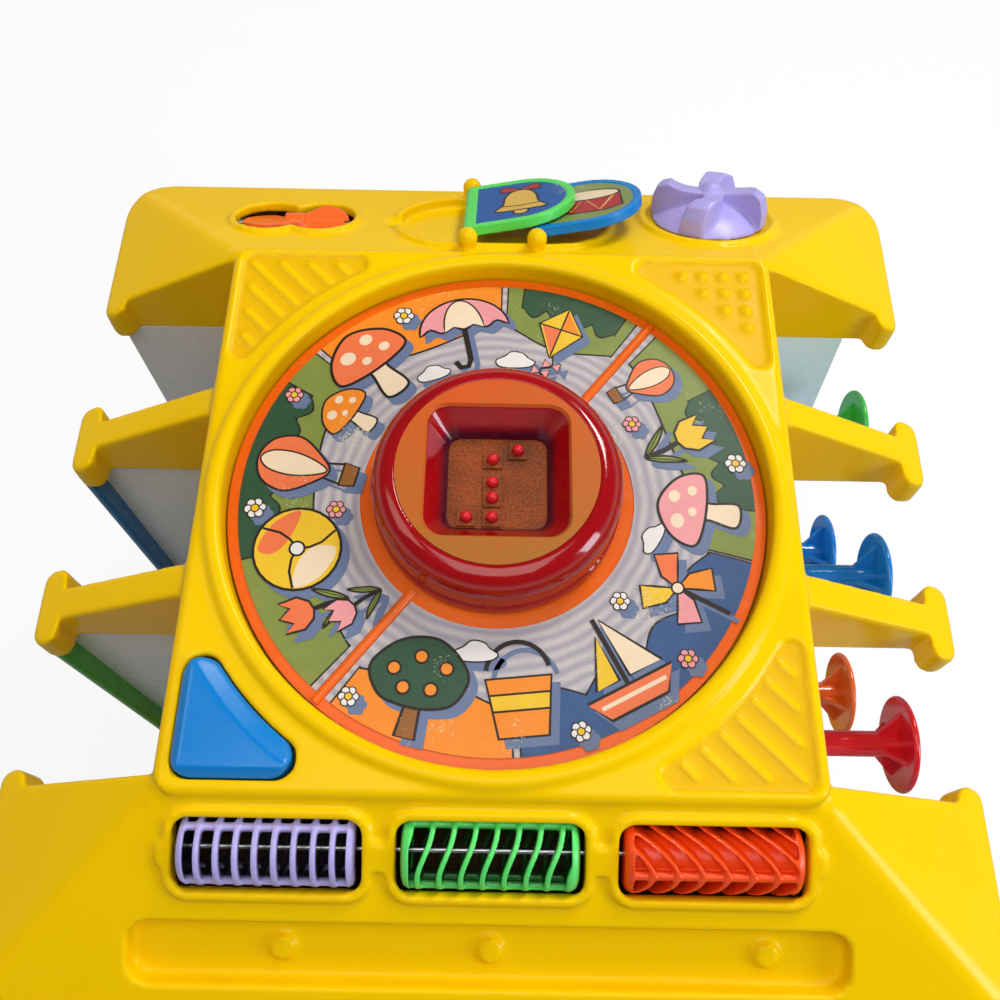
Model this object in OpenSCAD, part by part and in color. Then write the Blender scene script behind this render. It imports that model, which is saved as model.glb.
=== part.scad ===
// Activity cube: a yellow cap with toys on top of a white body with block chutes and a peg wall.
// Millimetres, +Z up, front towards -Y, origin on the floor under the middle of the footprint.

/* [Deck] */
// Width of the square plateau
deck_w = 252; // [248:1:258]
// Height of the plateau above the floor
deck_h = 360; // [330:1:390]
// Height of the deck plate above the top of the slopes
deck_step = 5; // [4:0.5:6]
// Corner radius of the deck plate
deck_r = 12; // [10:1:20]
// Round along the top edge of the deck plate
edge_r = 4.5; // [2:0.5:4.5]
// Width of deck left beside the round well for the turntable
well_land = 11.5; // [11:0.5:16]
// Depth of the well below the deck
well_d = 14; // [13:0.5:18]
// Section radius of the raised ring round the well
ring_r = 4.5; // [3:0.5:5]
// Height of the ring above the deck
ring_h = 3; // [2:0.5:4]
// Width of deck left outside the corner pads
pad_margin = 4.5; // [3:0.5:6]
// Depth of the corner pads
pad_d = 2; // [1:0.5:3]
// Number of ridges on a ridged pad
pad_ridges = 7; // [3:2:7]
// Spacing of the ridges and of the bumps
pad_pitch = 9.4; // [8:0.2:10]

/* [Cap] */
// Angle of the four slopes
slope_deg = 28.5; // [26:0.5:31]
// Run of the left and right slopes
side_run = 76; // [72:1:82]
// Run of the front and back slopes
end_run = 77; // [76:1:90]
// Height of the cap from its lower edge to the deck
cap_h = 62; // [58:1:72]
// Upright corner radius of the cap
cap_r = 26; // [16:1:32]
// Wall of the mouldings
wall = 3; // [2.4:0.1:3.4]
// Width of the ledge that carries the deck
ledge = 4; // [3.6:0.1:5]
// Spacing of the block notches along the sides
bay_pitch = 84; // [80:1:86]
// How far the notches lie behind the middle of the deck
bay_shift = 2; // [0:0.5:4]
// Width of the arms between the notches
arm_w = 14; // [12:1:18]
// Thickness of the bars across the arm ends
bar_t = 13; // [11:0.5:16]
// Length of the bars across the arm ends
bar_len = 35; // [32:1:40]
// Reach of the hooks on the corner pieces
hook_len = 7; // [6:1:12]

/* [Turntable and reader] */
// Thickness of the turntable
disc_t = 3; // [2.5:0.5:4]
// Width of the bare border round the picture sheets
disc_border = 4.5; // [3:0.5:12]
// Angle of the two spokes on the turntable
spoke_deg = 52; // [0:1:180]
// Radius of the foot of the reader dome
dome_r = 52; // [48:0.5:54]
// Height of the reader dome above the deck
dome_h = 20; // [18:1:24]
// Radius of the neck under the dome
neck_r = 44; // [40:0.5:45]
// Width of the reader cup at its mouth
cup_w = 59.5; // [56:0.5:60]
// Width of the floor of the reader cup
cup_floor = 40; // [38:1:44]
// Height of the cup floor above the deck
floor_h = 6; // [5:0.5:8]
// Diameter of the reader pins
pin_d = 4.6; // [4:0.2:4.8]
// Height of the pins above the cup floor
pin_h = 4.5; // [4:0.5:6]

/* [Button] */
// Height of the button above the deck
button_h = 3.5; // [3:0.5:6]
// Width of the bevel along the round side of the button
button_bevel = 7; // [3:0.5:9]

/* [Rollers] */
// Radius of the rollers
roller_r = 14; // [12:0.5:14.5]
// Length of a roller
roller_len = 66; // [60:1:70]
// Spacing of the rollers
roller_pitch = 82.5; // [80:0.5:88]
// Distance of the rollers down the front slope
roller_v = 20.5; // [19:0.5:22]
// Depth of the roller axle below the slope
roller_sink = 7; // [6:0.5:8]
// Diameter of the roller axle
axle_d = 2.5; // [2:0.25:3]
// Number of rings on the lilac roller, with its ends
lilac_ribs = 10; // [7:1:11]
// Number of ribs on the green roller
green_ribs = 9; // [7:1:11]
// Number of ribs on the orange roller
orange_ribs = 8; // [7:1:10]

/* [Trough] */
// Length of the trough below the rollers
trough_w = 270; // [250:1:290]
// Width of the trough
trough_v = 24; // [22:1:28]
// Distance of the trough down the front slope
trough_pos = 59; // [57:0.5:62]
// Depth of the trough
trough_d = 8; // [5:0.5:10]

/* [Paddle] */
// Inset of the paddle from the left edge of the deck
paddle_inset = 21; // [16:1:24]
// Distance of the paddle down the back slope
paddle_v = 41; // [38:1:50]
// Half length of the paddle
paddle_len = 27; // [24:0.5:28]
// Radius that the blades sweep
paddle_r = 14; // [11:0.5:15]
// Thickness of the blades
blade_t = 4; // [3:0.5:5]

/* [Pages] */
// Length of a page from its hinge
page_len = 53; // [48:1:54]
// Width of a page along its hinge
page_w = 56; // [50:1:58]
// Thickness of a page
page_t = 5; // [4:0.25:5.25]
// Distance between the two hinges
page_pitch = 33; // [32:1:38]
// Rest angle of the pages above the slope
page_rest = 10; // [10:0.5:12]
// Height of the hinges above the slope
page_axis = 6.5; // [6:0.5:9]
// Distance of the pages down the back slope
page_v = 39; // [38.5:0.5:43]
// Diameter of the hinge pins
hinge_d = 2.5; // [2:0.25:3]

/* [Knob] */
// Inset of the knob from the right edge of the deck
knob_inset = 21; // [16:1:24]
// Distance of the knob down the back slope
knob_v = 50; // [46:1:51]
// Radius of the knob
knob_r = 30; // [26:0.5:31]
// Height of the knob
knob_h = 20; // [18:1:26]

/* [Body] */
// Thickness of the chute dividers
web_t = 10; // [8:0.5:12]
// Width of the chute rails
rail_w = 30; // [26:1:34]
// Thickness of the chute rails
rail_t = 5; // [4:0.5:6]
// Height of the peg lattice's top row below the deck
peg_drop = 99; // [94:1:104]
// Spacing of the peg rows
peg_rows = 71; // [66:1:74]
// Diameter of a peg's rod
peg_d = 12; // [10:0.5:14]
// Diameter of a peg's head
head_d = 45; // [38:1:48]
// Inset of the peg wall's end panels at the top
flare = 23; // [0:1:26]
// Gap between the body walls and the skirt of the cap
skirt_gap = 1; // [0.6:0.1:2]
// Height of the rim of the base tray
rim_h = 27; // [20:1:32]
// Height of the feet
foot_h = 2; // [1:0.5:4]
// Diameter of a battery cell
cell_d = 26; // [14:0.5:27]
// Length of a battery cell
cell_len = 50; // [44:1:52]

/* [Hidden] */
$fn = 64;

yellow = "#F2C40C";
white = "#F1EFEA";
orange = "#F0661E";
red = "#A5121C";
blue = "#1186D6";
green = "#4FCB60";
lilac = "#A79BDC";
steel = "#B9BDC2";
dark = "#3A3A3E";
board_green = "#2F7D4A";

// Clearances: a sliding fit, a turning fit and a gap between bodies
slide_fit = 0.2;
turn_fit = 0.25;
body_gap = 0.5;

// Heights and half widths shared by the pieces
deck_half = deck_w / 2;
well_r = deck_half - well_land;
slope_z = deck_h - deck_step;
skirt_z = deck_h - cap_h;
cap_x = deck_w + 2 * side_run;
cap_y = deck_w + 2 * end_run;
corner_y = 1.5 * bay_pitch - arm_w / 2;
back_wall_y = bay_shift + corner_y;
front_wall_y = bay_shift - corner_y;
floor_z = foot_h + wall;
rim_z = foot_h + rim_h;

// Deck: ring, pads and button
ring_mid = well_r + 0.8 * ring_r;
pad_edge = deck_half - pad_margin;
pad_arc = ring_mid + 2.2 * ring_r;
pad_soft = 6;
button_soft = 8;
button_edge = deck_half - 1.4 * pad_margin;
button_arc = ring_mid + 2.6 * ring_r;
button_depth = 8;
button_travel = 3;
seat_drop = 26;
spring_r = 6.5;
stem_r = 4;

// Turntable and reader
disc_r = well_r - 2 * body_gap;
disc_top = deck_h - well_d + wall + disc_t;
well_floor = deck_h - well_d;
wire_hole_r = neck_r - 10;
hub_ring = 6;
picture_t = 0.4;
spoke_r = 2;
glide_r = neck_r + 20;
dome_foot = disc_top + picture_t + body_gap;
dome_top = deck_h + dome_h;
dome_round = 10;
face_t = 1.2;
cup_soft = 9;
foot_band = 6;
groove_w = 1.5;
groove_d = 1.5;
step_in = 0.5;
face_r = dome_r - dome_round - step_in;
floor_top = deck_h + floor_h;
pocket_w = cup_floor + 4;
plate_t = 3;
boss_w = 7.6;
boss_h = 1;
collar_d = 6.2;
collar_t = 1.2;
pin_travel = 3;
pin_foot = floor_top - plate_t - 6;
mat_t = 1.5;
board_t = 1.6;
pin_places = [[8.4, 14.6], [-2, 10.2], [-2, -0.4], [-2, -7.3], [-12.4, -16], [-2, -16]];

// Front slope
window_w = roller_len + 4;
window_v = 2 * roller_r;
window_soft = 6;
rim_t = 3.5;
rim_up = 2.4;
ring_t = 2.2;
cage_r = roller_r - 4;
rib_t = 2;
rail_r = 1.7;
rail_in = 0.3;
rail_angles = [34, 146, 214, 326];
low_rail_angles = [18, 162, 198, 342];
end_bevel = 3.2;
rib_span = roller_len - 2 * end_bevel + 1;
core_r = 9;
strip_w = 11;
cup_gap = 1;
cup_t = 2;
cup_len = window_w + 2 * cup_t;
axle_len = 2 * roller_pitch + cup_len;
stud_places = [-78, 0.5, 105];
stud_r = 6;
stud_h = 3;

// Back slope
paddle_x = paddle_inset - deck_half;
knob_x = deck_half - knob_inset;
lobe_r = paddle_r + 3;
lobe_x = paddle_len - paddle_r;
neck_half = 6.5;
hub_r = 5.5;
paddle_sink = 2.5;
left_blade_turn = -12;
right_blade_turn = 14;
pin_axle_d = 3;
oval_w = 104;
oval_v = 58;
oval_d = 3;
ball_r = 5;
page_border = 3.5;
picture_d = 0.6;
knob_lift = 0.5;
knob_stem_r = 6;
peak_r = 6.5;
knob_rim_r = 2.5;
vane_t = 10;
vane_turn = 8;

// Body
bay_x = deck_half;
house_left = cap_x / 2 - wall - skirt_gap;
house_back = cap_y / 2 - wall - skirt_gap;
house_right = cap_x / 2 - flare;
house_soft = cap_r - wall - skirt_gap;
house_top = skirt_z + 10;
bar_inner = cap_x / 2 - bar_t;
arm_places = [bay_shift + bay_pitch / 2, bay_shift - bay_pitch / 2];
notch_places = [for (k = [-1:1]) bay_shift + k * bay_pitch];
head_t = 3;
head_x = bar_inner + 4;
spigot_d = 8;
gusset_t = 2.5;
gusset_len = 10;
peg_places = [
    for (row = [0:2])
        let (n = row == 1 ? 2 : 3)
        for (k = [0:n - 1])
            [bay_shift + (k - (n - 1) / 2) * bay_pitch, deck_h - peg_drop - row * peg_rows]
];
peg_colours = [red, blue, green, orange, blue, green, red, blue];
screw_d = 3;
screw_slack = 0.4;
screw_head_d = 6;
screw_head_t = 2;
tab_w = 16;
tab_mid = deck_half - ledge - tab_w / 2;
deck_bite = 2;
boss_r = 5;
boss_tall = 35;
boss_top = floor_z + boss_tall;
foot_r = 9;
cells = 3;
case_wall = 2;
cell_gap = 1;
case_x = cells * (cell_d + cell_gap) + cell_gap + 2 * case_wall;
case_y = cell_len + 4 + 2 * case_wall;
case_h = cell_d + 2 + case_wall;
ear_y = 12;
door_gap = 0.3;
speaker_r = 30;
speaker_rim = 3;
speaker_cone = 7;
magnet_r = 17;
magnet_h = 10;
contact_w = 12;
contact_t = 1.6;
speaker_y = -85;
board_y = 80;
board_w = 84;
board_v = 52;
board_post = 7;

// Shapes shared by the pieces

// Rectangle with round corners
module round_rect(w, d, r) {
    if (d > 2 * r) square([w, d - 2 * r], center = true);
    if (w > 2 * r) square([w - 2 * r, d], center = true);
    for (x = [-1, 1], y = [-1, 1])
        translate([x * (w / 2 - r), y * (d / 2 - r)]) circle(r);
}

// Raised frame round an opening with round corners
module raised_rim(w, d, r, t, h) {
    translate([0, 0, -1]) linear_extrude(h + 1) difference() {
        round_rect(w + 2 * t, d + 2 * t, r + t);
        round_rect(w, d, r);
    }
}

// Section of a plate whose top edges are rounded in three flats
module soft_profile(w, h, e) {
    arc = [for (a = [0:30:90]) [w / 2 - e + e * cos(a), h - e + e * sin(a)]];
    polygon(concat(
        [[-w / 2, 0], [w / 2, 0]],
        arc,
        [for (i = [len(arc) - 1:-1:0]) [-arc[i][0], arc[i][1]]]
    ));
}

// Plate with round corners and softened top edges
module soft_plate(w, h, r, e) {
    intersection() {
        linear_extrude(h) round_rect(w, w, r);
        rotate([90, 0, 0]) linear_extrude(w + 2, center = true) soft_profile(w, h, e);
        rotate([90, 0, 90]) linear_extrude(w + 2, center = true) soft_profile(w, h, e);
    }
}

// Round-ended rod from the origin along +X
module capsule(r, length) {
    rotate([0, 90, 0]) rotate_extrude() intersection() {
        union() {
            translate([-r, 0]) square([2 * r, length]);
            circle(r);
            translate([0, length]) circle(r);
        }
        translate([0, -r]) square([r, length + 2 * r]);
    }
}

// Upright tube
module tube(r_out, r_in, h) {
    difference() {
        cylinder(r = r_out, h = h);
        translate([0, 0, -1]) cylinder(r = r_in, h = h + 2);
    }
}

// Places its children on the back slope: x across, y down the slope, z out of it
module back_slope() {
    translate([0, deck_half, slope_z]) rotate([-slope_deg, 0, 0]) children();
}

// Places its children on the front slope: x across, minus y down the slope, z out of it
module front_slope() {
    translate([0, -deck_half, slope_z]) rotate([slope_deg, 0, 0]) children();
}

// Corner outline between the ring and the deck's edges, in the +X +Y quarter
module corner_outline(edge, arc, soft) {
    offset(r = soft) offset(delta = -soft) difference() {
        square(edge);
        circle(r = arc, $fn = 128);
    }
}

// Cap: half section across a slope, narrowed by the wall for its inside
module cap_profile(width, run, inset) {
    half = width / 2 - inset;
    top = slope_z - inset;
    lift = inset / cos(slope_deg);
    knee_x = width / 2 - run - (lift - inset) / tan(slope_deg);
    knee_z = slope_z - lift - (run - inset) * tan(slope_deg);
    low = skirt_z - (inset > 0 ? 1 : 0);
    polygon([[-half, low], [half, low], [half, knee_z], [knee_x, top], [-knee_x, top], [-half, knee_z]]);
}

// Cap: plan of the middle, the corner pieces, the arms and the bars at their ends
module cap_plan(inset) {
    square([deck_w - 2 * inset, cap_y], center = true);
    for (s = [-1, 1]) {
        for (y = arm_places) {
            translate([s * (deck_half + bar_inner) / 2, y])
                square([bar_inner - deck_half + 2 * inset + 2, arm_w - 2 * inset], center = true);
            translate([s * (cap_x - bar_t) / 2, y])
                round_rect(bar_t - 2 * inset, bar_len - 2 * inset, bar_t / 2 - inset - 0.5);
        }
        corner_plan(s, 1, back_wall_y, inset);
        corner_plan(s, -1, -front_wall_y, inset);
    }
}

// Cap: plan of one corner piece with its hook
module corner_plan(side, end, wall_y, inset) {
    depth = cap_y / 2 - wall_y;
    translate([side * (cap_x / 4), end * (wall_y + inset + depth / 2)])
        square([cap_x / 2, depth], center = true);
    translate([side * (cap_x - bar_t) / 2, end * (wall_y + (bar_t - hook_len) / 2)])
        round_rect(bar_t - 2 * inset, bar_t + hook_len - 2 * inset, bar_t / 2 - inset - 0.5);
}

// Cap: the sloped body, or the hollow inside it
module cap_body(inset) {
    intersection() {
        rotate([90, 0, 0]) linear_extrude(cap_y + 2, center = true) cap_profile(cap_x, side_run, inset);
        rotate([90, 0, 90]) linear_extrude(cap_x + 2, center = true) cap_profile(cap_y, end_run, inset);
        translate([0, 0, skirt_z - 2]) linear_extrude(cap_h) intersection() {
            round_rect(cap_x - 2 * inset, cap_y - 2 * inset, cap_r - inset);
            cap_plan(inset);
        }
    }
}

// Window for the paddle: two round lobes and a narrow neck
module bow_tie(grow) {
    for (s = [-1, 1]) translate([s * lobe_x, 0]) circle(lobe_r + grow);
    shoulder = 0.9 * (lobe_r + grow);
    polygon([
        [-lobe_x, shoulder], [0, neck_half + grow], [lobe_x, shoulder],
        [lobe_x, -shoulder], [0, -neck_half - grow], [-lobe_x, -shoulder]
    ]);
}

// Posts with round heads that hold the hinge pins of the pages
module page_posts() {
    for (u = [-page_pitch / 2, page_pitch / 2], s = [-1, 1])
        translate([u, page_v + s * (page_w / 2 + ball_r + 1.2), 0]) {
            translate([0, 0, -1]) cylinder(r = ball_r - 1.5, h = page_axis + 1);
            translate([0, 0, page_axis]) sphere(ball_r);
        }
}

// Steel hinge pins of the pages
module pin_rods(d) {
    for (u = [-page_pitch / 2, page_pitch / 2])
        translate([u, page_v, page_axis]) rotate([90, 0, 0])
            cylinder(d = d, h = page_w + 3 * ball_r, center = true);
}

// Cups below the roller windows, whose end walls carry the axle
module roller_cups(r, length) {
    for (k = [-1:1])
        translate([k * roller_pitch, -roller_v, -roller_sink]) intersection() {
            rotate([0, 90, 0]) cylinder(r = r, h = length, center = true);
            translate([0, 0, roller_sink - 1 - 2 * roller_r])
                cube([2 * length, 4 * roller_r, 4 * roller_r], center = true);
        }
}

module front_features() {
    for (k = [-1:1])
        translate([k * roller_pitch, -roller_v, 0])
            raised_rim(window_w, window_v, window_soft, rim_t, rim_up);
    translate([0, -roller_v, -1]) linear_extrude(1 + rim_up) round_rect(3 * roller_pitch, strip_w, strip_w / 3);
    roller_cups(roller_r + cup_gap + cup_t, cup_len);
    translate([0, -trough_pos, -trough_d - wall])
        linear_extrude(trough_d + wall - 1) round_rect(trough_w + 2 * wall, trough_v + 2 * wall, trough_v / 3 + wall);
}

module front_cuts() {
    for (k = [-1:1])
        translate([k * roller_pitch, -roller_v, -roller_sink])
            linear_extrude(2 * roller_r) round_rect(window_w, window_v, window_soft);
    translate([0, -trough_pos, -trough_d])
        linear_extrude(trough_d + 2 * wall) round_rect(trough_w, trough_v, trough_v / 3);
    roller_cups(roller_r + cup_gap, window_w);
    translate([0, -roller_v, -roller_sink]) rotate([0, 90, 0]) cylinder(d = axle_d, h = axle_len, center = true);
}

module back_features() {
    translate([paddle_x, paddle_v, -1]) linear_extrude(1 + rim_up) bow_tie(rim_t);
    for (s = [-1, 1])
        translate([paddle_x + s * (lobe_x + lobe_r + wall), paddle_v, -paddle_sink - 1])
            cube([2 * wall, 3 * pin_axle_d, 2 * pin_axle_d], center = true);
    translate([0, page_v, -oval_d - wall])
        linear_extrude(oval_d + wall - 1) round_rect(oval_w + 2 * wall, oval_v + 2 * wall, oval_v / 2 + wall);
    translate([0, page_v, 0]) raised_rim(oval_w, oval_v, oval_v / 2, rim_t, rim_up);
    page_posts();
    translate([knob_x, knob_v, 0])
        rotate_extrude() translate([knob_r + 1 + knob_rim_r, 0]) circle(knob_rim_r);
}

module back_cuts() {
    translate([paddle_x, paddle_v, -lobe_r]) linear_extrude(2 * lobe_r) bow_tie(0);
    translate([paddle_x, paddle_v, -paddle_sink]) rotate([0, 90, 0])
        cylinder(d = pin_axle_d, h = 2 * (lobe_x + lobe_r) + 3 * wall, center = true);
    translate([0, page_v, -oval_d]) linear_extrude(oval_d + 0.5) round_rect(oval_w, oval_v, oval_v / 2);
    translate([-oval_w / 2 - rim_t / 2, page_v, rim_up + 3]) sphere(8);
    pin_rods(hinge_d);
    translate([knob_x, knob_v, -3 * wall]) cylinder(r = knob_stem_r + turn_fit, h = 6 * wall);
}

module cap() color(yellow) {
    difference() {
        union() {
            difference() {
                cap_body(0);
                cap_body(wall);
            }
            front_slope() front_features();
            back_slope() back_features();
        }
        translate([0, 0, skirt_z]) linear_extrude(cap_h) difference() {
            round_rect(deck_w - 2 * ledge, deck_w - 2 * ledge, deck_r);
            deck_tab_places() square(tab_w, center = true);
        }
        front_slope() front_cuts();
        back_slope() back_cuts();
        deck_tab_places() translate([0, 0, slope_z - 2 * wall]) cylinder(d = screw_d + screw_slack, h = 3 * wall);
    }
    front_slope()
        for (x = stud_places)
            translate([x, -trough_pos, -trough_d - 1]) cylinder(r1 = stud_r, r2 = stud_r - 1.5, h = stud_h + 1);
}

// Corner tabs of the cap that the deck is screwed to, at the three corners without the button
module deck_tab_places() {
    for (a = [0, 90, 270]) rotate([0, 0, a]) translate([tab_mid, tab_mid]) children();
}

module deck_screws() color(steel) deck_tab_places() {
    translate([0, 0, slope_z - wall - screw_head_t]) cylinder(d = screw_head_d, h = screw_head_t);
    translate([0, 0, slope_z - wall]) cylinder(d = screw_d, h = wall + deck_bite);
}

// Deck: diagonal ridges of a corner pad, each ending short of the pad's edges
module pad_ridge_set() {
    r = 1.6;
    margin = 4;
    for (k = [0:pad_ridges - 1]) {
        q = (k - (pad_ridges - 1) / 2) * pad_pitch;
        from = sqrt(pad_arc * pad_arc - q * q) + margin;
        to = pad_edge * sqrt(2) - abs(q) - 2 * margin;
        if (to > from)
            rotate([0, 0, 45]) translate([from, q, 0]) capsule(r, to - from);
    }
}

// Deck: round bumps of a corner pad, one less in each row
module pad_bump_set() {
    start = pad_edge - 9;
    for (row = [0:3], col = [0:3 - row])
        translate([start - col * pad_pitch, start - row * pad_pitch, 0]) sphere(2.2);
}

// Deck: the plate with its ring, well, pads and button hole
module deck_plate() {
    difference() {
        union() {
            translate([0, 0, slope_z]) soft_plate(deck_w, deck_step, deck_r, edge_r);
            translate([0, 0, deck_h + ring_h - ring_r])
                rotate_extrude($fn = 128) translate([ring_mid, 0]) circle(ring_r, $fn = 48);
            translate([0, 0, well_floor - wall]) cylinder(r = well_r + wall, h = well_d, $fn = 128);
        }
        translate([0, 0, well_floor]) cylinder(r = well_r, h = 2 * well_d, $fn = 128);
        translate([0, 0, well_floor - 2 * wall]) cylinder(r = wire_hole_r, h = 4 * wall);
        for (a = [0, 90, 270])
            rotate([0, 0, a]) translate([0, 0, deck_h - pad_d])
                linear_extrude(2 * deck_step) corner_outline(pad_edge, pad_arc, pad_soft);
        rotate([0, 0, 180]) translate([0, 0, slope_z - 1])
            linear_extrude(3 * deck_step) corner_outline(button_edge, button_arc, button_soft);
    }
}

module deck() color(yellow) difference() {
    union() {
        deck_plate();
        for (a = [90, 270]) rotate([0, 0, a]) translate([0, 0, deck_h - pad_d]) pad_ridge_set();
        translate([0, 0, deck_h - pad_d]) pad_bump_set();
    }
    deck_tab_places() translate([0, 0, slope_z - wall]) cylinder(d = screw_d, h = wall + deck_bite);
}

module turntable() color(orange) {
    difference() {
        translate([0, 0, disc_top - disc_t]) cylinder(r = disc_r, h = disc_t, $fn = 128);
        translate([0, 0, disc_top - 2 * disc_t]) cylinder(r = neck_r + body_gap, h = 3 * disc_t);
    }
    for (s = [0, 180])
        rotate([0, 0, spoke_deg + s]) translate([dome_r + 2, 0, disc_top]) rotate([0, 90, 0])
            cylinder(r = spoke_r, h = disc_r - dome_r - 3);
}

module picture_sheets() color("#8FA873") difference() {
    translate([0, 0, disc_top]) tube(disc_r - disc_border, dome_r + hub_ring, picture_t);
    rotate([0, 0, spoke_deg]) translate([0, 0, disc_top])
        cube([3 * disc_r, 2 * (spoke_r + slide_fit), 4], center = true);
}

module glide_ring() color(white)
    translate([0, 0, well_floor]) tube(glide_r, glide_r - 10, wall);

// Reader cup: a square funnel with round corners
module cup_hollow() {
    hull() {
        translate([0, 0, dome_top + 0.01])
            linear_extrude(0.01) round_rect(cup_w, cup_w, cup_soft, $fn = 32);
        translate([0, 0, floor_top])
            linear_extrude(0.01) round_rect(cup_floor, cup_floor, cup_soft / 2, $fn = 32);
    }
}

module reader_dome() color(red) difference() {
    rise = dome_top - dome_foot;
    translate([0, 0, dome_foot]) rotate_extrude($fn = 128) {
        square([dome_r, foot_band]);
        square([dome_r - step_in - groove_d, rise - dome_round]);
        translate([0, foot_band + groove_w]) square([dome_r - step_in, rise - dome_round - foot_band - groove_w]);
        square([face_r, rise]);
        translate([face_r, rise - dome_round]) circle(dome_round);
        translate([0, well_floor - dome_foot]) square([neck_r, dome_foot - well_floor]);
    }
    cup_hollow();
    translate([0, 0, dome_top - face_t]) cylinder(r = face_r, h = 2 * face_t);
    translate([0, 0, (floor_top + well_floor - 1) / 2])
        cube([pocket_w, pocket_w, floor_top - well_floor + 1], center = true);
}

module reader_face() color("#D9731A") difference() {
    translate([0, 0, dome_top - face_t]) cylinder(r = face_r - slide_fit, h = face_t);
    cup_hollow();
}

module reader_floor() color("#8A4B1C") difference() {
    union() {
        translate([0, 0, floor_top - plate_t / 2])
            cube([pocket_w - 2 * slide_fit, pocket_w - 2 * slide_fit, plate_t], center = true);
        for (p = pin_places)
            translate([p[0], p[1], floor_top]) cube([boss_w, boss_w, 2 * boss_h], center = true);
    }
    for (p = pin_places)
        translate([p[0], p[1], floor_top - 2 * plate_t]) cylinder(d = pin_d + 2 * slide_fit, h = 4 * plate_t);
}

module reader_pin(place) color("#E02A2E") translate([place[0], place[1], 0]) {
    top = floor_top + pin_h - pin_d / 2;
    translate([0, 0, pin_foot]) cylinder(d = pin_d, h = top - pin_foot);
    translate([0, 0, top]) sphere(d = pin_d);
    translate([0, 0, floor_top - plate_t - collar_t]) cylinder(d = collar_d, h = collar_t);
}

module reader_keypad() color("#D8D4CC") {
    mat_z = pin_foot - pin_travel - mat_t;
    translate([0, 0, mat_z + mat_t / 2])
        cube([pocket_w - 2 * slide_fit, pocket_w - 2 * slide_fit, mat_t], center = true);
    for (p = pin_places)
        translate([p[0], p[1], mat_z + mat_t]) cylinder(d = pin_d, h = pin_travel);
}

module reader_board() color(board_green)
    translate([0, 0, pin_foot - pin_travel - mat_t - board_t / 2])
        cube([pocket_w - 2 * slide_fit, pocket_w - 2 * slide_fit, board_t], center = true);

// Button: a corner plate with a cone along its round side and flat bevels along its straight sides
module corner_button() color(blue) {
    top = deck_h + button_h;
    edge = button_edge - body_gap;
    arc = button_arc + body_gap;
    drop = button_h;
    side_bevel = button_bevel / 2;
    rotate([0, 0, 180]) difference() {
        translate([0, 0, deck_h - button_depth])
            linear_extrude(button_depth + button_h) corner_outline(edge, arc, button_soft);
        translate([0, 0, top]) rotate_extrude($fn = 128)
            translate([arc + button_bevel, 0]) bevel_cut(-button_bevel, drop);
        for (m = [0, 1]) mirror([m, -m, 0])
            translate([edge - side_bevel, 2 * edge, top]) rotate([90, 0, 0])
                linear_extrude(3 * edge) bevel_cut(side_bevel, drop);
    }
    button_middle() translate([0, 0, deck_h - seat_drop - 2 * wall])
        cylinder(r = stem_r, h = seat_drop + 2 * wall - button_depth / 2);
}

// Section of a bevel from the origin outwards, run on past the edge that it takes off
module bevel_cut(width, drop) {
    over = 1.3;
    polygon([[0, 0], [over * width, -over * drop], [over * width, drop], [0, drop]]);
}

// Middle of the button, on the diagonal of its corner
module button_middle() {
    reach = (button_arc + button_edge * sqrt(2)) / 2;
    rotate([0, 0, 225]) translate([reach - 4, 0, 0]) children();
}

module button_seat() color(white) {
    post_r = 3;
    post_ring = (well_r + wall + button_arc) / 2;
    edge = deck_half - ledge - 2 * body_gap;
    difference() {
        rotate([0, 0, 180]) translate([0, 0, deck_h - seat_drop])
            linear_extrude(wall) corner_outline(edge, well_r + wall + 1, 4);
        button_middle() translate([0, 0, deck_h - seat_drop - 1])
            cylinder(r = stem_r + turn_fit, h = 2 * wall);
    }
    for (a = [-14, 0, 14])
        rotate([0, 0, 225 + a]) translate([post_ring, 0, deck_h - seat_drop + wall / 2])
            cylinder(r = post_r, h = seat_drop - deck_step - wall / 2);
}

module button_spring() color(steel)
    button_middle() translate([0, 0, deck_h - seat_drop + wall])
        tube(spring_r, spring_r - 1, seat_drop - wall - button_depth);

// Rollers: axle place, end discs, long rails and ribs that follow a curve seen from above
module roller_place(k) {
    front_slope() translate([k * roller_pitch, -roller_v, -roller_sink]) children();
}

module roller_frame(angles) {
    for (s = [0, 1])
        mirror([s, 0, 0]) translate([roller_len / 2, 0, 0]) rotate([0, -90, 0]) rotate_extrude() polygon([
            [axle_d / 2 + turn_fit, 0], [roller_r - end_bevel, 0], [roller_r - end_bevel / 3, end_bevel / 3],
            [roller_r, end_bevel], [roller_r - ring_t, end_bevel], [roller_r - ring_t, ring_t],
            [axle_d / 2 + turn_fit, ring_t]
        ]);
    for (a = angles)
        rotate([a, 0, 0]) translate([0, roller_r - rail_r - rail_in, 0]) rotate([0, 90, 0])
            cylinder(r = rail_r, h = rib_span, center = true);
}

// Band of constant width along x = curve(y), for y across the roller
module curve_band(curve, width) {
    steps = 8;
    ys = [for (i = [-steps:steps]) i * roller_r / steps * 1.02];
    polygon(concat(
        [for (y = ys) [curve(y) - width / 2, y]],
        [for (i = [len(ys) - 1:-1:0]) [curve(ys[i]) + width / 2, ys[i]]]
    ));
}

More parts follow.
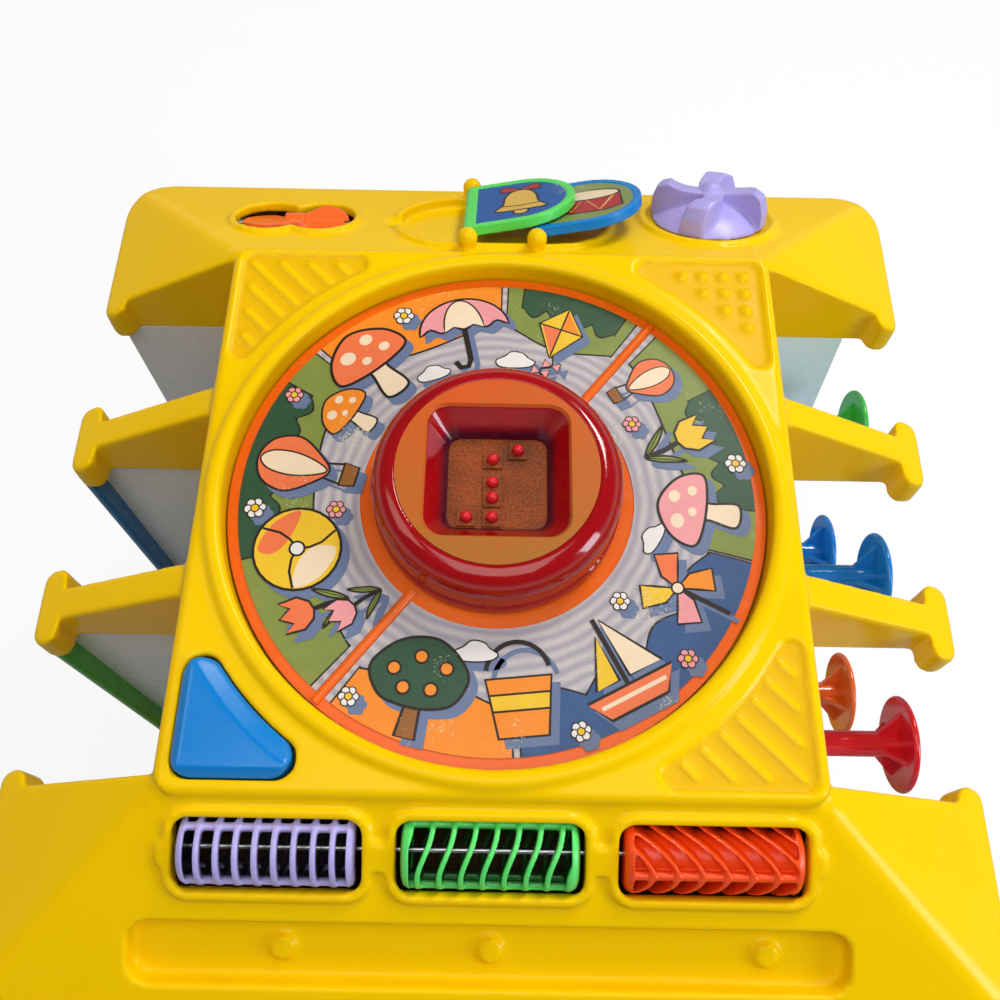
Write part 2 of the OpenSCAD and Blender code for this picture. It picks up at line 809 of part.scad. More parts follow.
// Ribs along a curve, cut to the roller's round and kept between its end discs
module curved_ribs(curve, ribs, r_in, spread) {
    step = (roller_len - ring_t) / (ribs - 1);
    intersection() {
        difference() {
            rotate([0, 90, 0]) cylinder(r = roller_r, h = rib_span, center = true);
            rotate([0, 90, 0]) cylinder(r = r_in, h = 2 * roller_len, center = true);
        }
        linear_extrude(3 * roller_r, center = true)
            for (i = [-spread:ribs - 1 + spread])
                translate([(i - (ribs - 1) / 2) * step, 0]) curve_band(curve, rib_t);
    }
}

module lilac_roller() color(lilac) roller_place(-1) {
    step = (roller_len - ring_t) / (lilac_ribs - 1);
    roller_frame(rail_angles);
    for (i = [1:lilac_ribs - 2])
        translate([-roller_len / 2 + i * step, 0, 0]) rotate([0, 90, 0]) tube(roller_r, cage_r, ring_t);
}

module green_roller() color(green) roller_place(0) {
    reach = 2.75;
    lean = function(y) reach * sin(90 * max(min((y - reach) / cage_r, 1), -1));
    roller_frame(low_rail_angles);
    curved_ribs(lean, green_ribs, cage_r, 0);
}

module orange_roller() color(orange) roller_place(1) {
    bar_y = -3.5;
    bar_r = roller_r - rail_r - rail_in;
    sweep = function(y) -0.062 * pow(abs(y - bar_y), 2) - 0.15 * abs(y - bar_y);
    roller_frame([]);
    translate([ring_t / 2 - roller_len / 2, 0, 0]) rotate([0, 90, 0])
        tube(core_r, axle_d / 2 + turn_fit, roller_len - ring_t);
    curved_ribs(sweep, orange_ribs, core_r - 1, 2);
    translate([0, bar_y, sqrt(bar_r * bar_r - bar_y * bar_y)]) rotate([0, 90, 0])
        cylinder(r = rail_r, h = rib_span, center = true);
}

module roller_axle() color(steel)
    front_slope() translate([0, -roller_v, -roller_sink]) rotate([0, 90, 0])
        cylinder(d = axle_d, h = axle_len, center = true);

// Paddle: two fan blades on one hub, set a little apart
module paddle_place() {
    back_slope() translate([paddle_x, paddle_v, -paddle_sink]) children();
}

module fan_blade() {
    root = hub_r - 1.5;
    linear_extrude(blade_t, center = true) {
        polygon([[0, root], [lobe_x, paddle_r], [lobe_x, -paddle_r], [0, -root]]);
        intersection() {
            translate([lobe_x, 0]) circle(paddle_r);
            translate([lobe_x - 1, -paddle_r]) square([paddle_r + 2, 2 * paddle_r]);
        }
    }
}

module paddle() color(orange) paddle_place() difference() {
    union() {
        rotate([left_blade_turn, 0, 0]) mirror([1, 0, 0]) fan_blade();
        rotate([right_blade_turn, 0, 0]) fan_blade();
        rotate([0, 90, 0]) cylinder(r = hub_r, h = 10, center = true);
    }
    rotate([0, 90, 0]) cylinder(d = pin_axle_d + 2 * turn_fit, h = 3 * paddle_len, center = true);
}

module paddle_axle() color(steel) paddle_place() rotate([0, 90, 0])
    cylinder(d = pin_axle_d, h = 2 * (lobe_x + lobe_r) + 3 * wall, center = true);

// Pages: round-ended frames on hinges that run down the slope
module page_outline(inset) {
    r = page_w / 2 - inset;
    translate([page_len - page_w / 2, 0]) circle(r);
    translate([inset, -r]) square([page_len - page_w / 2 - inset, 2 * r]);
}

module page_place(side) {
    back_slope() translate([side * page_pitch / 2, page_v, page_axis]) rotate([0, -page_rest, 0]) children();
}

module page_frame() {
    difference() {
        union() {
            linear_extrude(page_t, center = true) page_outline(0);
            rotate([90, 0, 0]) cylinder(d = page_t, h = page_w, center = true);
        }
        for (s = [-1, 1])
            translate([0, 0, s * page_t / 2]) linear_extrude(2 * picture_d, center = true)
                page_outline(page_border);
        rotate([90, 0, 0]) cylinder(d = hinge_d + slide_fit, h = 2 * page_w, center = true);
    }
}

// Page pictures: one sheet let into each face
module page_sheets() {
    for (s = [-1, 1])
        translate([0, 0, s * (page_t - picture_d) / 2])
            linear_extrude(picture_d, center = true) page_outline(page_border + slide_fit);
}

module green_page() color(green) page_place(-1) page_frame();
module blue_page() color(blue) page_place(1) page_frame();
module green_page_picture() color("#1F5FA8") page_place(-1) page_sheets();
module blue_page_picture() color("#7C9A4E") page_place(1) page_sheets();
module page_pins() color(steel) back_slope() pin_rods(hinge_d);

// Knob: a low dome with four curved vanes and a round peak
module knob_place() {
    back_slope() translate([knob_x, knob_v, 0]) children();
}

module vane_plan() {
    bend = 26;
    for (a = [0:90:270]) rotate([0, 0, a]) intersection() {
        translate([0, -bend]) difference() {
            circle(bend + vane_t / 2);
            circle(bend - vane_t / 2);
        }
        translate([0, -bend]) square([knob_r, bend + vane_t]);
    }
}

module spin_knob() color(lilac) knob_place() difference() {
    union() {
        rotate_extrude() {
            translate([0, knob_lift]) intersection() {
                square([knob_r, knob_h]);
                translate([0, -knob_r * 1.1]) circle(knob_r * 1.1 + 0.55 * knob_h);
            }
            translate([0, -wall - body_gap]) square([knob_stem_r, knob_h - peak_r + wall + body_gap]);
            intersection() {
                translate([0, knob_h - peak_r]) circle(peak_r);
                translate([0, knob_h - peak_r - 1]) square(2 * peak_r);
            }
        }
        intersection() {
            translate([0, 0, knob_lift + 1]) rotate([0, 0, vane_turn]) linear_extrude(knob_h) vane_plan();
            rotate_extrude() polygon([
                [knob_stem_r - 2, 0], [knob_r - 0.6, 0], [knob_r - 0.6, 0.45 * knob_h], [knob_r - 3, 0.78 * knob_h],
                [knob_r - 8, 0.9 * knob_h], [knob_r / 2, 0.82 * knob_h], [knob_stem_r - 2, 0.78 * knob_h]
            ]);
        }
    }
    translate([0, 0, -2 * wall]) cylinder(d = screw_d, h = 4 * wall);
}

module knob_screw() color(steel) knob_place() {
    translate([0, 0, -wall - body_gap - screw_head_t]) cylinder(r = knob_stem_r + 3, h = screw_head_t);
    translate([0, 0, -wall - body_gap]) cylinder(d = screw_d, h = 2 * wall);
}

// Body walls
module bay_inner(side) {
    translate([side * (bay_x - wall / 2), (back_wall_y + front_wall_y) / 2, (skirt_z + floor_z) / 2])
        cube([wall, back_wall_y - front_wall_y + 2 * wall, skirt_z - floor_z], center = true);
}

module left_bay() color(white) {
    bay_inner(-1);
    for (y = [back_wall_y + wall / 2, front_wall_y - wall / 2])
        translate([-(house_left + bay_x - wall) / 2, y, (skirt_z + floor_z) / 2])
            cube([house_left - bay_x + wall, wall, skirt_z - floor_z], center = true);
}

module right_bay() color(white) difference() {
    union() {
        bay_inner(1);
        for (y = [back_wall_y + wall, front_wall_y])
            translate([0, y, 0]) rotate([90, 0, 0]) linear_extrude(wall)
                polygon([
                    [bay_x - wall, floor_z], [house_left, floor_z], [house_left, rim_z],
                    [house_right, skirt_z], [bay_x - wall, skirt_z]
                ]);
    }
    for (p = peg_places)
        translate([bay_x - 2 * wall, p[0], p[1]]) rotate([0, 90, 0]) cylinder(d = spigot_d, h = 3 * wall);
}

// Housing: front, or back when mirrored, with rounded corners and screw bosses
module housing(depth) {
    width = house_left + house_right;
    mid = (house_right - house_left) / 2;
    tall = house_top - floor_z;
    boss_in = house_soft - (house_soft - wall - 2) / sqrt(2);
    difference() {
        union() {
            translate([mid, 0, floor_z]) linear_extrude(tall) difference() {
                translate([0, house_soft]) round_rect(width, 2 * depth + 2 * house_soft, house_soft);
                translate([0, house_soft])
                    round_rect(width - 2 * wall, 2 * (depth - wall) + 2 * house_soft, house_soft - wall);
                translate([0, 2 * depth]) square([2 * width, 4 * depth], center = true);
            }
            for (s = [-1, 1])
                translate([mid + s * (width / 2 - boss_in), boss_in - depth, floor_z])
                    cylinder(r = boss_r, h = boss_top - floor_z);
        }
        for (s = [-1, 1])
            translate([mid + s * (width / 2 - boss_in), boss_in - depth, floor_z - 1])
                cylinder(d = screw_d, h = boss_top - floor_z - 10);
        translate([-cap_x, -wall - 0.5, skirt_z]) cube([2 * cap_x, 4 * depth, cap_h]);
    }
}

module front_housing() color(white)
    translate([0, front_wall_y - wall, 0]) housing(house_back + front_wall_y - wall);

module back_housing() color(white)
    translate([0, back_wall_y + wall, 0]) mirror([0, 1, 0]) housing(house_back - back_wall_y - wall);

module divider(y) {
    translate([-(bay_x + cap_x / 2 - rail_t) / 2, y, (skirt_z + floor_z) / 2])
        cube([cap_x / 2 - rail_t - bay_x, web_t, skirt_z - floor_z], center = true);
}

module rail(y) {
    translate([-cap_x / 2 + rail_t / 2, y, rim_z])
        linear_extrude(skirt_z - rim_z) round_rect(rail_t, rail_w, rail_t / 2 - 0.5);
}

module back_divider() color(white) divider(arm_places[0]);
module front_divider() color(white) divider(arm_places[1]);
module blue_rail() color(blue) rail(arm_places[0]);
module green_rail() color(green) rail(arm_places[1]);

// Peg: a rod with a spigot in the wall, a wide head and four gussets under the head
module peg(place, tint) color(tint)
    translate([0, place[0], place[1]]) rotate([0, 90, 0]) {
        reach = head_x - head_t - bay_x;
        translate([0, 0, bay_x - 2 * wall]) cylinder(d = spigot_d, h = 2 * wall + 1);
        translate([0, 0, bay_x]) cylinder(d = peg_d, h = reach + 1);
        translate([0, 0, head_x - head_t]) rotate_extrude() {
            square([head_d / 2 - head_t / 2, head_t]);
            translate([head_d / 2 - head_t / 2, head_t / 2]) circle(head_t / 2);
        }
        for (a = [0:90:270])
            rotate([0, 0, 45 + a]) rotate([90, 0, 0]) linear_extrude(gusset_t, center = true)
                polygon([
                    [0, head_x - head_t - gusset_len], [peg_d / 2 - 0.3, head_x - head_t - gusset_len],
                    [head_d / 2 - 5, head_x - head_t + 0.5], [0, head_x - head_t + 0.5]
                ]);
    }

// Base
module base_screw_places() {
    inner = house_soft - wall - 2;
    for (x = [house_soft - house_left - inner / sqrt(2), house_right - house_soft + inner / sqrt(2)])
        for (s = [-1, 1])
            translate([x, s * (house_back - house_soft + inner / sqrt(2)), 0]) children();
}

module base_tray() color(yellow) difference() {
    union() {
        difference() {
            translate([0, 0, foot_h]) linear_extrude(rim_h) round_rect(cap_x, cap_y, cap_r);
            translate([0, 0, floor_z]) linear_extrude(rim_h)
                round_rect(cap_x - 2 * wall, cap_y - 2 * wall, cap_r - wall);
        }
        for (x = [-1, 1], y = [-1, 1])
            translate([x * (board_w / 2 - 5), board_y + y * (board_v / 2 - 5), floor_z - 1])
                cylinder(r = 3, h = board_post + 1);
    }
    base_screw_places() translate([0, 0, -1]) cylinder(d = screw_d + 0.4, h = floor_z + 2);
    base_screw_places() translate([0, 0, -1]) cylinder(d = screw_head_d + 0.6, h = foot_h + 2.2);
    translate([-case_x / 2, -case_y / 2, 0]) translate([case_wall, case_wall, 0])
        cube([case_x - 2 * case_wall, case_y - 2 * case_wall + ear_y, 2 * floor_z]);
    for (k = [-3:3])
        translate([7 * k, speaker_y, floor_z])
            cube([3, 2 * sqrt(pow(speaker_r - 4, 2) - pow(7 * k, 2)), 4 * wall], center = true);
}

module feet() color(dark)
    for (x = [-1, 1], y = [-1, 1])
        translate([x * (cap_x / 2 - cap_r - foot_r), y * (cap_y / 2 - cap_r - foot_r), 0])
            cylinder(r = foot_r, h = foot_h);

module base_screws() color(steel) base_screw_places() {
    translate([0, 0, foot_h + 1.2 - screw_head_t]) cylinder(d = screw_head_d, h = screw_head_t);
    translate([0, 0, foot_h + 1]) cylinder(d = screw_d, h = wall + 10);
}

// Battery case over the opening in the base, with an ear for the door's screw
module battery_case() color(white) difference() {
    translate([-case_x / 2, -case_y / 2, floor_z]) union() {
        cube([case_x, case_y, case_h]);
        translate([case_x / 2 - 10, case_y - 1, 0]) cube([20, ear_y - case_wall + 1, 10]);
    }
    translate([case_wall - case_x / 2, case_wall - case_y / 2, floor_z - 1])
        cube([case_x - 2 * case_wall, case_y - 2 * case_wall, case_h - case_wall + 1]);
    door_screw_place() cylinder(d = screw_d, h = 12);
}

module door_screw_place() {
    translate([0, case_y / 2 + ear_y / 2 - 2, foot_h]) children();
}

module battery_cells() color("#5D6166")
    for (k = [-1:1])
        translate([k * (cell_d + cell_gap), 0, floor_z + cell_d / 2 + 0.2]) rotate([90, 0, 0])
            cylinder(d = cell_d, h = cell_len, center = true);

module battery_contacts() color(steel)
    for (k = [-1:1], s = [-1, 1])
        translate([k * (cell_d + cell_gap), s * (cell_len / 2 + contact_t * 0.7), floor_z + cell_d / 2])
            cube([contact_w, contact_t, contact_w], center = true);

module battery_door() color(yellow) difference() {
    translate([case_wall + door_gap - case_x / 2, case_wall + door_gap - case_y / 2, foot_h])
        cube([case_x - 2 * (case_wall + door_gap), case_y - 2 * (case_wall + door_gap) + ear_y, wall]);
    door_screw_place() translate([0, 0, -1]) cylinder(d = screw_d + 0.4, h = 2 * wall);
    door_screw_place() translate([0, 0, -1]) cylinder(d = screw_head_d + 0.6, h = 2.2);
}

module door_screw() color(steel) door_screw_place() {
    translate([0, 0, 1.2 - screw_head_t]) cylinder(d = screw_head_d, h = screw_head_t);
    translate([0, 0, 1]) cylinder(d = screw_d, h = 8);
}

module speaker() color(dark) translate([0, speaker_y, floor_z]) {
    cylinder(r = speaker_r, h = speaker_rim);
    translate([0, 0, speaker_rim]) cylinder(r1 = speaker_r - speaker_rim, r2 = magnet_r, h = speaker_cone);
    translate([0, 0, speaker_rim + speaker_cone]) cylinder(r = magnet_r, h = magnet_h);
}

module main_board() color(board_green)
    translate([0, board_y, floor_z + board_post + board_t / 2]) cube([board_w, board_v, board_t], center = true);

deck();
cap();
turntable();
picture_sheets();
glide_ring();
reader_dome();
reader_face();
reader_floor();
reader_keypad();
reader_board();
for (i = [1:6]) reader_pin(pin_places[i - 1]);
corner_button();
button_spring();
button_seat();
lilac_roller();
green_roller();
orange_roller();
roller_axle();
paddle();
paddle_axle();
green_page();
blue_page();
green_page_picture();
blue_page_picture();
page_pins();
spin_knob();
knob_screw();
left_bay();
right_bay();
front_housing();
back_housing();
back_divider();
front_divider();
blue_rail();
green_rail();
for (i = [1:8]) peg(peg_places[i - 1], peg_colours[i - 1]);
base_tray();
feet();
base_screws();
deck_screws();
battery_case();
battery_cells();
battery_contacts();
battery_door();
door_screw();
speaker();
main_board();
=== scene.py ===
"""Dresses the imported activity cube: soft moulded shells, prints, rubber keys, floor, light and camera."""
import math

import bmesh
import bpy
from mathutils import Matrix, Vector


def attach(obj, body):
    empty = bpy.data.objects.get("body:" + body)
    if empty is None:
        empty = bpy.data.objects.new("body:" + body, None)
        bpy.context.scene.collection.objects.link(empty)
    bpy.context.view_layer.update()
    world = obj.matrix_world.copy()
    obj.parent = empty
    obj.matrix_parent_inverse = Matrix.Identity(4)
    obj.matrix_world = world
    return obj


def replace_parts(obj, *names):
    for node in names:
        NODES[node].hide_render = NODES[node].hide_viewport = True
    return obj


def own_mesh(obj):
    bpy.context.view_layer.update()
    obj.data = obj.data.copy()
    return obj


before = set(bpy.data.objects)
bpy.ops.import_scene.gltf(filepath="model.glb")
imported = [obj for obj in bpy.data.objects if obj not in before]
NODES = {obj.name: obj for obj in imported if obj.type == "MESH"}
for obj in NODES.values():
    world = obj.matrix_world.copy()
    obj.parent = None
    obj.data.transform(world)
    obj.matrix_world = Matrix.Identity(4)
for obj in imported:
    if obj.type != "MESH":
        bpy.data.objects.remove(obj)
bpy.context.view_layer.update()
MM = 0.001

# Sizes in mm and angles in degrees of the deck, its corner pads and the printed disc
DECK_HALF = 126.0
PAD_LOW = 357.4
PAD_HIGH = 358.7
PAD_EDGE = 121.5
PAD_ARC = 128.0
DISC_TOP = 352.0
SHEET_T = 0.4
SHEET_IN = 58.0
SHEET_OUT = 109.0
SPOKE_DEG = 52.0
SPOKE_HALF = 2.2

# The slopes of the cap, whose half width is the mean of its two sides
SLOPE_DEG = 28.5
SLOPE_TOP = 355.0
SLOPE_FOOT = 313.5
CAP_HALF = 202.5

# The pages: where they hinge on the back slope, and the frame round each picture
PAGE_V = 39.0
PAGE_LIFT = 6.5
PAGE_HALF_PITCH = 16.5
PAGE_REST = 10.0
PAGE_HALF_T = 2.5
PAGE_LEN = 53.0
PAGE_W = 56.0
PAGE_BORDER = 3.5
PICTURE_D = 0.6
PAGE_BED = PAGE_HALF_T - PICTURE_D

# The reader: its cup, its pins and the rubber keys under them
CUP_MOUTH = 376.5
CUP_REACH = 32.0
# Painted shade on the cup walls: it starts this far below the mouth, and is full at the next depth
CUP_LIP = 4.0
CUP_SHADE_FULL = 8.0
PINS = 6
MAT_HALF = 21.8
MAT_FOOT = 352.5
KEY_FOOT = 353.7
KEY_TOP = 357.0
KEY_R = 2.3

# The rollers, the painted shade inside them, and the painted shade deep in their pockets
ROLLER_PITCH = 82.5
ROLLER_Y = -140.7
ROLLER_Z = 339.1
ROLLER_R = 14.0
# Painted shade inside a roller: full from the first depth below its rim inwards, gone by the second
INNER_SHADE_DEEP = 3.5
INNER_SHADE_EDGE = 0.8
# Bounds of the painted shade deep in the roller pockets
POCKET_HALF = 36.5
POCKET_TOP = 2.5
POCKET_WALL = 2.2

# The rib along the paddle's axle: its wall over the steel, and how much shorter than the paddle it is
RIB_WALL = 0.7
RIB_SHORT = 6.0


# Materials

# Sizes of the patterns, in mm. The real peel, grit, die marks and grains are too fine to show in the
# render, so they are drawn as coarse as they need to show, here and where a material gives its grain.
DRIFT = 70.0
HAND_MARK = 14.0
PEEL = 3.0
GRIT = 0.9
RELIEF = 0.1
TINT_MM = 40.0
SCUFF = 9.0
GRAIN_RELIEF = 0.15
FADE_PATCH = 11.0
FLECK = 1.1
WORN_MM = 24.0
DIE_MARK = 0.8
PEEL_STRENGTH = 0.06  # a share, not a size


def linear(hex_colour):
    """sRGB hex to the linear colour that shaders take."""
    out = []
    for i in (1, 3, 5):
        c = int(hex_colour[i:i + 2], 16) / 255
        out.append(c / 12.92 if c <= 0.04045 else ((c + 0.055) / 1.055) ** 2.4)
    return (*out, 1.0)


def add(tree, kind, links=None, **settings):
    """Adds one node with its settings, and values or links on its sockets."""
    made = tree.nodes.new(kind)
    for key, value in settings.items():
        setattr(made, key, value)
    for key, value in (links or {}).items():
        socket = made.inputs[key]
        if isinstance(value, bpy.types.NodeSocket):
            tree.links.new(value, socket)
        else:
            socket.default_value = value
    return made


def blank(name):
    """A new material with an empty tree, and the place of each point in metres."""
    made = bpy.data.materials.new(name)
    made.use_nodes = True
    made.node_tree.nodes.clear()
    return made, made.node_tree, add(made.node_tree, "ShaderNodeTexCoord").outputs["Object"]


def moulded(name, colour, deep, rough, gloss=0.4, fine=0.0, inner_shade=""):
    """Injection-moulded ABS, or a hard lacquer: an even colour that drifts a little, under a dulled polish.

    A faint orange peel breaks the gloss, and a fine grit marks an etched face.
    A roller also takes a painted shade towards its axis, for the dark inside that is seen between the ribs.
    """
    made, tree, place = blank(name)
    drift = add(tree, "ShaderNodeTexNoise", {"Vector": place, "Scale": 1 / (DRIFT * MM), "Detail": 4.0})
    shade = add(tree, "ShaderNodeMix", {
        0: drift.outputs["Fac"], 6: linear(deep), 7: linear(colour),
    }, data_type="RGBA")
    # Painted shade: the colour darkens towards the roller's axis, where its inside lies in shade
    if inner_shade:
        axis = (0, ROLLER_Y * MM, ROLLER_Z * MM)
        away = add(tree, "ShaderNodeVectorMath", {0: place, 1: axis}, operation="SUBTRACT")
        away = add(tree, "ShaderNodeVectorMath", {0: away.outputs[0], 1: (0, 1, 1)}, operation="MULTIPLY")
        away = add(tree, "ShaderNodeVectorMath", {0: away.outputs[0]}, operation="LENGTH")
        lit = add(tree, "ShaderNodeMapRange", {
            "Value": away.outputs["Value"],
            "From Min": (ROLLER_R - INNER_SHADE_DEEP) * MM, "From Max": (ROLLER_R - INNER_SHADE_EDGE) * MM,
        })
        shade = add(tree, "ShaderNodeMix", {
            0: lit.outputs["Result"], 6: linear(inner_shade), 7: shade.outputs[2],
        }, data_type="RGBA")
    hands = add(tree, "ShaderNodeTexNoise", {
        "Vector": place, "Scale": 1 / (HAND_MARK * MM), "Detail": 6.0, "Roughness": 0.65,
    })
    dull = add(tree, "ShaderNodeMapRange", {
        "Value": hands.outputs["Fac"], "From Min": 0.35, "From Max": 0.75,
        "To Min": rough, "To Max": rough + 0.16,
    })
    skin = add(tree, "ShaderNodeTexNoise", {"Vector": place, "Scale": 1 / (PEEL * MM), "Detail": 2.0})
    bump = add(tree, "ShaderNodeBump", {
        "Height": skin.outputs["Fac"], "Strength": PEEL_STRENGTH, "Distance": RELIEF * MM,
    })
    if fine:
        grit = add(tree, "ShaderNodeTexNoise", {"Vector": place, "Scale": 1 / (GRIT * MM), "Detail": 2.0})
        bump = add(tree, "ShaderNodeBump", {
            "Height": grit.outputs["Fac"], "Strength": fine, "Distance": RELIEF * MM,
            "Normal": bump.outputs["Normal"],
        })
    shader = add(tree, "ShaderNodeBsdfPrincipled", {
        "Base Color": shade.outputs[2], "Roughness": dull.outputs["Result"], "Specular IOR Level": gloss,
        "Normal": bump.outputs["Normal"],
    })
    add(tree, "ShaderNodeOutputMaterial", {"Surface": shader.outputs["BSDF"]})
    return made


def tinted(name, colour, deep, rough, clear, cup=""):
    """Moulded clear styrene with a tint: light comes back coloured, under a hard gloss with a few scuffs.

    The walls of a cup in the middle take a painted shade below its lip, in the cup's colour.
    """
    made, tree, place = blank(name)
    depth = add(tree, "ShaderNodeTexNoise", {"Vector": place, "Scale": 1 / (TINT_MM * MM), "Detail": 2.0})
    shade = add(tree, "ShaderNodeMix", {
        0: depth.outputs["Fac"], 6: linear(deep), 7: linear(colour),
    }, data_type="RGBA")
    # Painted shade: the cup walls darken below the lip, where shade falls inside the cup
    if cup:
        side = add(tree, "ShaderNodeVectorMath", {0: place}, operation="ABSOLUTE")
        side = add(tree, "ShaderNodeSeparateXYZ", {"Vector": side.outputs[0]})
        reach = add(tree, "ShaderNodeMath", {
            0: side.outputs["X"], 1: side.outputs["Y"],
        }, operation="MAXIMUM")
        inside = add(tree, "ShaderNodeMath", {
            0: reach.outputs[0], 1: CUP_REACH * MM,
        }, operation="LESS_THAN")
        below = add(tree, "ShaderNodeMapRange", {
            "Value": side.outputs["Z"],
            "From Min": (CUP_MOUTH - CUP_SHADE_FULL) * MM, "From Max": (CUP_MOUTH - CUP_LIP) * MM,
            "To Min": 1.0, "To Max": 0.0,
        })
        shaded_cup_wall = add(tree, "ShaderNodeMath", {
            0: inside.outputs[0], 1: below.outputs["Result"],
        }, operation="MULTIPLY")
        shade = add(tree, "ShaderNodeMix", {
            0: shaded_cup_wall.outputs[0], 6: shade.outputs[2], 7: linear(cup),
        }, data_type="RGBA")
    hands = add(tree, "ShaderNodeTexNoise", {"Vector": place, "Scale": 1 / (SCUFF * MM), "Detail": 6.0})
    dull = add(tree, "ShaderNodeMapRange", {
        "Value": hands.outputs["Fac"], "From Min": 0.4, "From Max": 0.8,
        "To Min": rough, "To Max": rough + 0.12,
    })
    shader = add(tree, "ShaderNodeBsdfPrincipled", {
        "Base Color": shade.outputs[2], "Roughness": dull.outputs["Result"], "IOR": 1.57,
        "Transmission Weight": clear, "Specular IOR Level": 0.4,
    })
    add(tree, "ShaderNodeOutputMaterial", {"Surface": shader.outputs["BSDF"]})
    return made


def mottled(name, colour, deep, spot_mm, grain_mm, rough, grain, fade_mm=0.0):
    """Etched plastic, rubber or paper with no gloss: cloudy patches of two tones and a sandy grain.

    With a fade, the deep tone also gains towards the front, over this distance each side of the middle.
    """
    made, tree, place = blank(name)
    patch = add(tree, "ShaderNodeTexNoise", {"Vector": place, "Scale": 1 / (spot_mm * MM), "Detail": 5.0})
    sand = add(tree, "ShaderNodeTexNoise", {"Vector": place, "Scale": 1 / (grain_mm * MM), "Detail": 1.0})
    tone = add(tree, "ShaderNodeMath", {
        0: patch.outputs["Fac"], 1: sand.outputs["Fac"],
    }, operation="MULTIPLY")
    tone = add(tree, "ShaderNodeMapRange", {"Value": tone.outputs[0], "From Min": 0.12, "From Max": 0.4})
    tone = tone.outputs["Result"]
    if fade_mm:
        depth = add(tree, "ShaderNodeSeparateXYZ", {"Vector": place}).outputs["Y"]
        fade = add(tree, "ShaderNodeMapRange", {
            "Value": depth, "From Min": -fade_mm * MM, "From Max": fade_mm * MM,
        })
        tone = add(tree, "ShaderNodeMix", {0: 0.3, 2: fade.outputs["Result"], 3: tone}).outputs[0]
    shade = add(tree, "ShaderNodeMix", {0: tone, 6: linear(deep), 7: linear(colour)}, data_type="RGBA")
    bump = add(tree, "ShaderNodeBump", {
        "Height": sand.outputs["Fac"], "Strength": grain, "Distance": GRAIN_RELIEF * MM,
    })
    shader = add(tree, "ShaderNodeBsdfPrincipled", {
        "Base Color": shade.outputs[2], "Roughness": rough, "Specular IOR Level": 0.3,
        "Normal": bump.outputs["Normal"],
    })
    add(tree, "ShaderNodeOutputMaterial", {"Surface": shader.outputs["BSDF"]})
    return made


def film(name, colour, deep, ripple_mm=0.0):
    """Printed film under a worn laminate: ink that fades in patches, with pale flecks where it is rubbed.

    With a ripple, the two tones also lie in wavering rings this far apart.
    """
    made, tree, place = blank(name)
    fade = add(tree, "ShaderNodeTexNoise", {
        "Vector": place, "Scale": 1 / (FADE_PATCH * MM), "Detail": 5.0, "Roughness": 0.7,
    })
    tone = fade.outputs["Fac"]
    if ripple_mm:
        # At scale 1 the rings of this texture are tau / 20 metres apart
        wave = add(tree, "ShaderNodeTexWave", {
            "Vector": place, "Scale": math.tau / (20 * ripple_mm * MM), "Distortion": 2.0, "Detail": 2.0,
        }, wave_type="RINGS", rings_direction="Z")
        tone = add(tree, "ShaderNodeMath", {
            0: wave.outputs["Fac"], 1: fade.outputs["Fac"],
        }, operation="MULTIPLY")
        tone = add(tree, "ShaderNodeMapRange", {"Value": tone.outputs[0], "From Max": 0.55})
        tone = tone.outputs["Result"]
    shade = add(tree, "ShaderNodeMix", {0: tone, 6: linear(deep), 7: linear(colour)}, data_type="RGBA")
    rub = add(tree, "ShaderNodeTexNoise", {
        "Vector": place, "Scale": 1 / (FLECK * MM), "Detail": 4.0, "Roughness": 0.8,
    })
    where = add(tree, "ShaderNodeTexNoise", {"Vector": place, "Scale": 1 / (WORN_MM * MM), "Detail": 2.0})
    worn = add(tree, "ShaderNodeMath", {
        0: rub.outputs["Fac"], 1: where.outputs["Fac"],
    }, operation="MULTIPLY")
    fleck = add(tree, "ShaderNodeMapRange", {
        "Value": worn.outputs[0], "From Min": 0.37, "From Max": 0.42, "To Max": 0.75,
    })
    ink = add(tree, "ShaderNodeMix", {
        0: fleck.outputs["Result"], 6: shade.outputs[2], 7: linear("#D9D2B4"),
    }, data_type="RGBA")
    shader = add(tree, "ShaderNodeBsdfPrincipled", {
        "Base Color": ink.outputs[2], "Roughness": 0.38, "Specular IOR Level": 0.35,
    })
    add(tree, "ShaderNodeOutputMaterial", {"Surface": shader.outputs["BSDF"]})
    return made


def drawn_steel(name):
    """Drawn and plated steel: a grey mirror broken by fine marks of the die."""
    made, tree, place = blank(name)
    mark = add(tree, "ShaderNodeTexNoise", {"Vector": place, "Scale": 1 / (DIE_MARK * MM), "Detail": 3.0})
    dull = add(tree, "ShaderNodeMapRange", {"Value": mark.outputs["Fac"], "To Min": 0.22, "To Max": 0.42})
    shader = add(tree, "ShaderNodeBsdfPrincipled", {
        "Base Color": linear("#B9BDC2"), "Metallic": 1.0, "Roughness": dull.outputs["Result"],
    })
    add(tree, "ShaderNodeOutputMaterial", {"Surface": shader.outputs["BSDF"]})
    return made


yellow_abs = moulded("yellow_abs_polished", "#F8CC00", "#F3C200", 0.15, gloss=0.1)
# Painted shade: a dark brown for deep in the roller pockets, where the cube's dark inside shows
pocket_shade_abs = moulded("painted_pocket_shade", "#3A280A", "#2A1C08", 0.5, gloss=0.1)
pad_abs = moulded("yellow_abs_etched", "#EDBC00", "#E4AE00", 0.34, gloss=0.12, fine=0.25)
white_abs = moulded("white_abs_polished", "#E9EAEA", "#DFE1E2", 0.24)
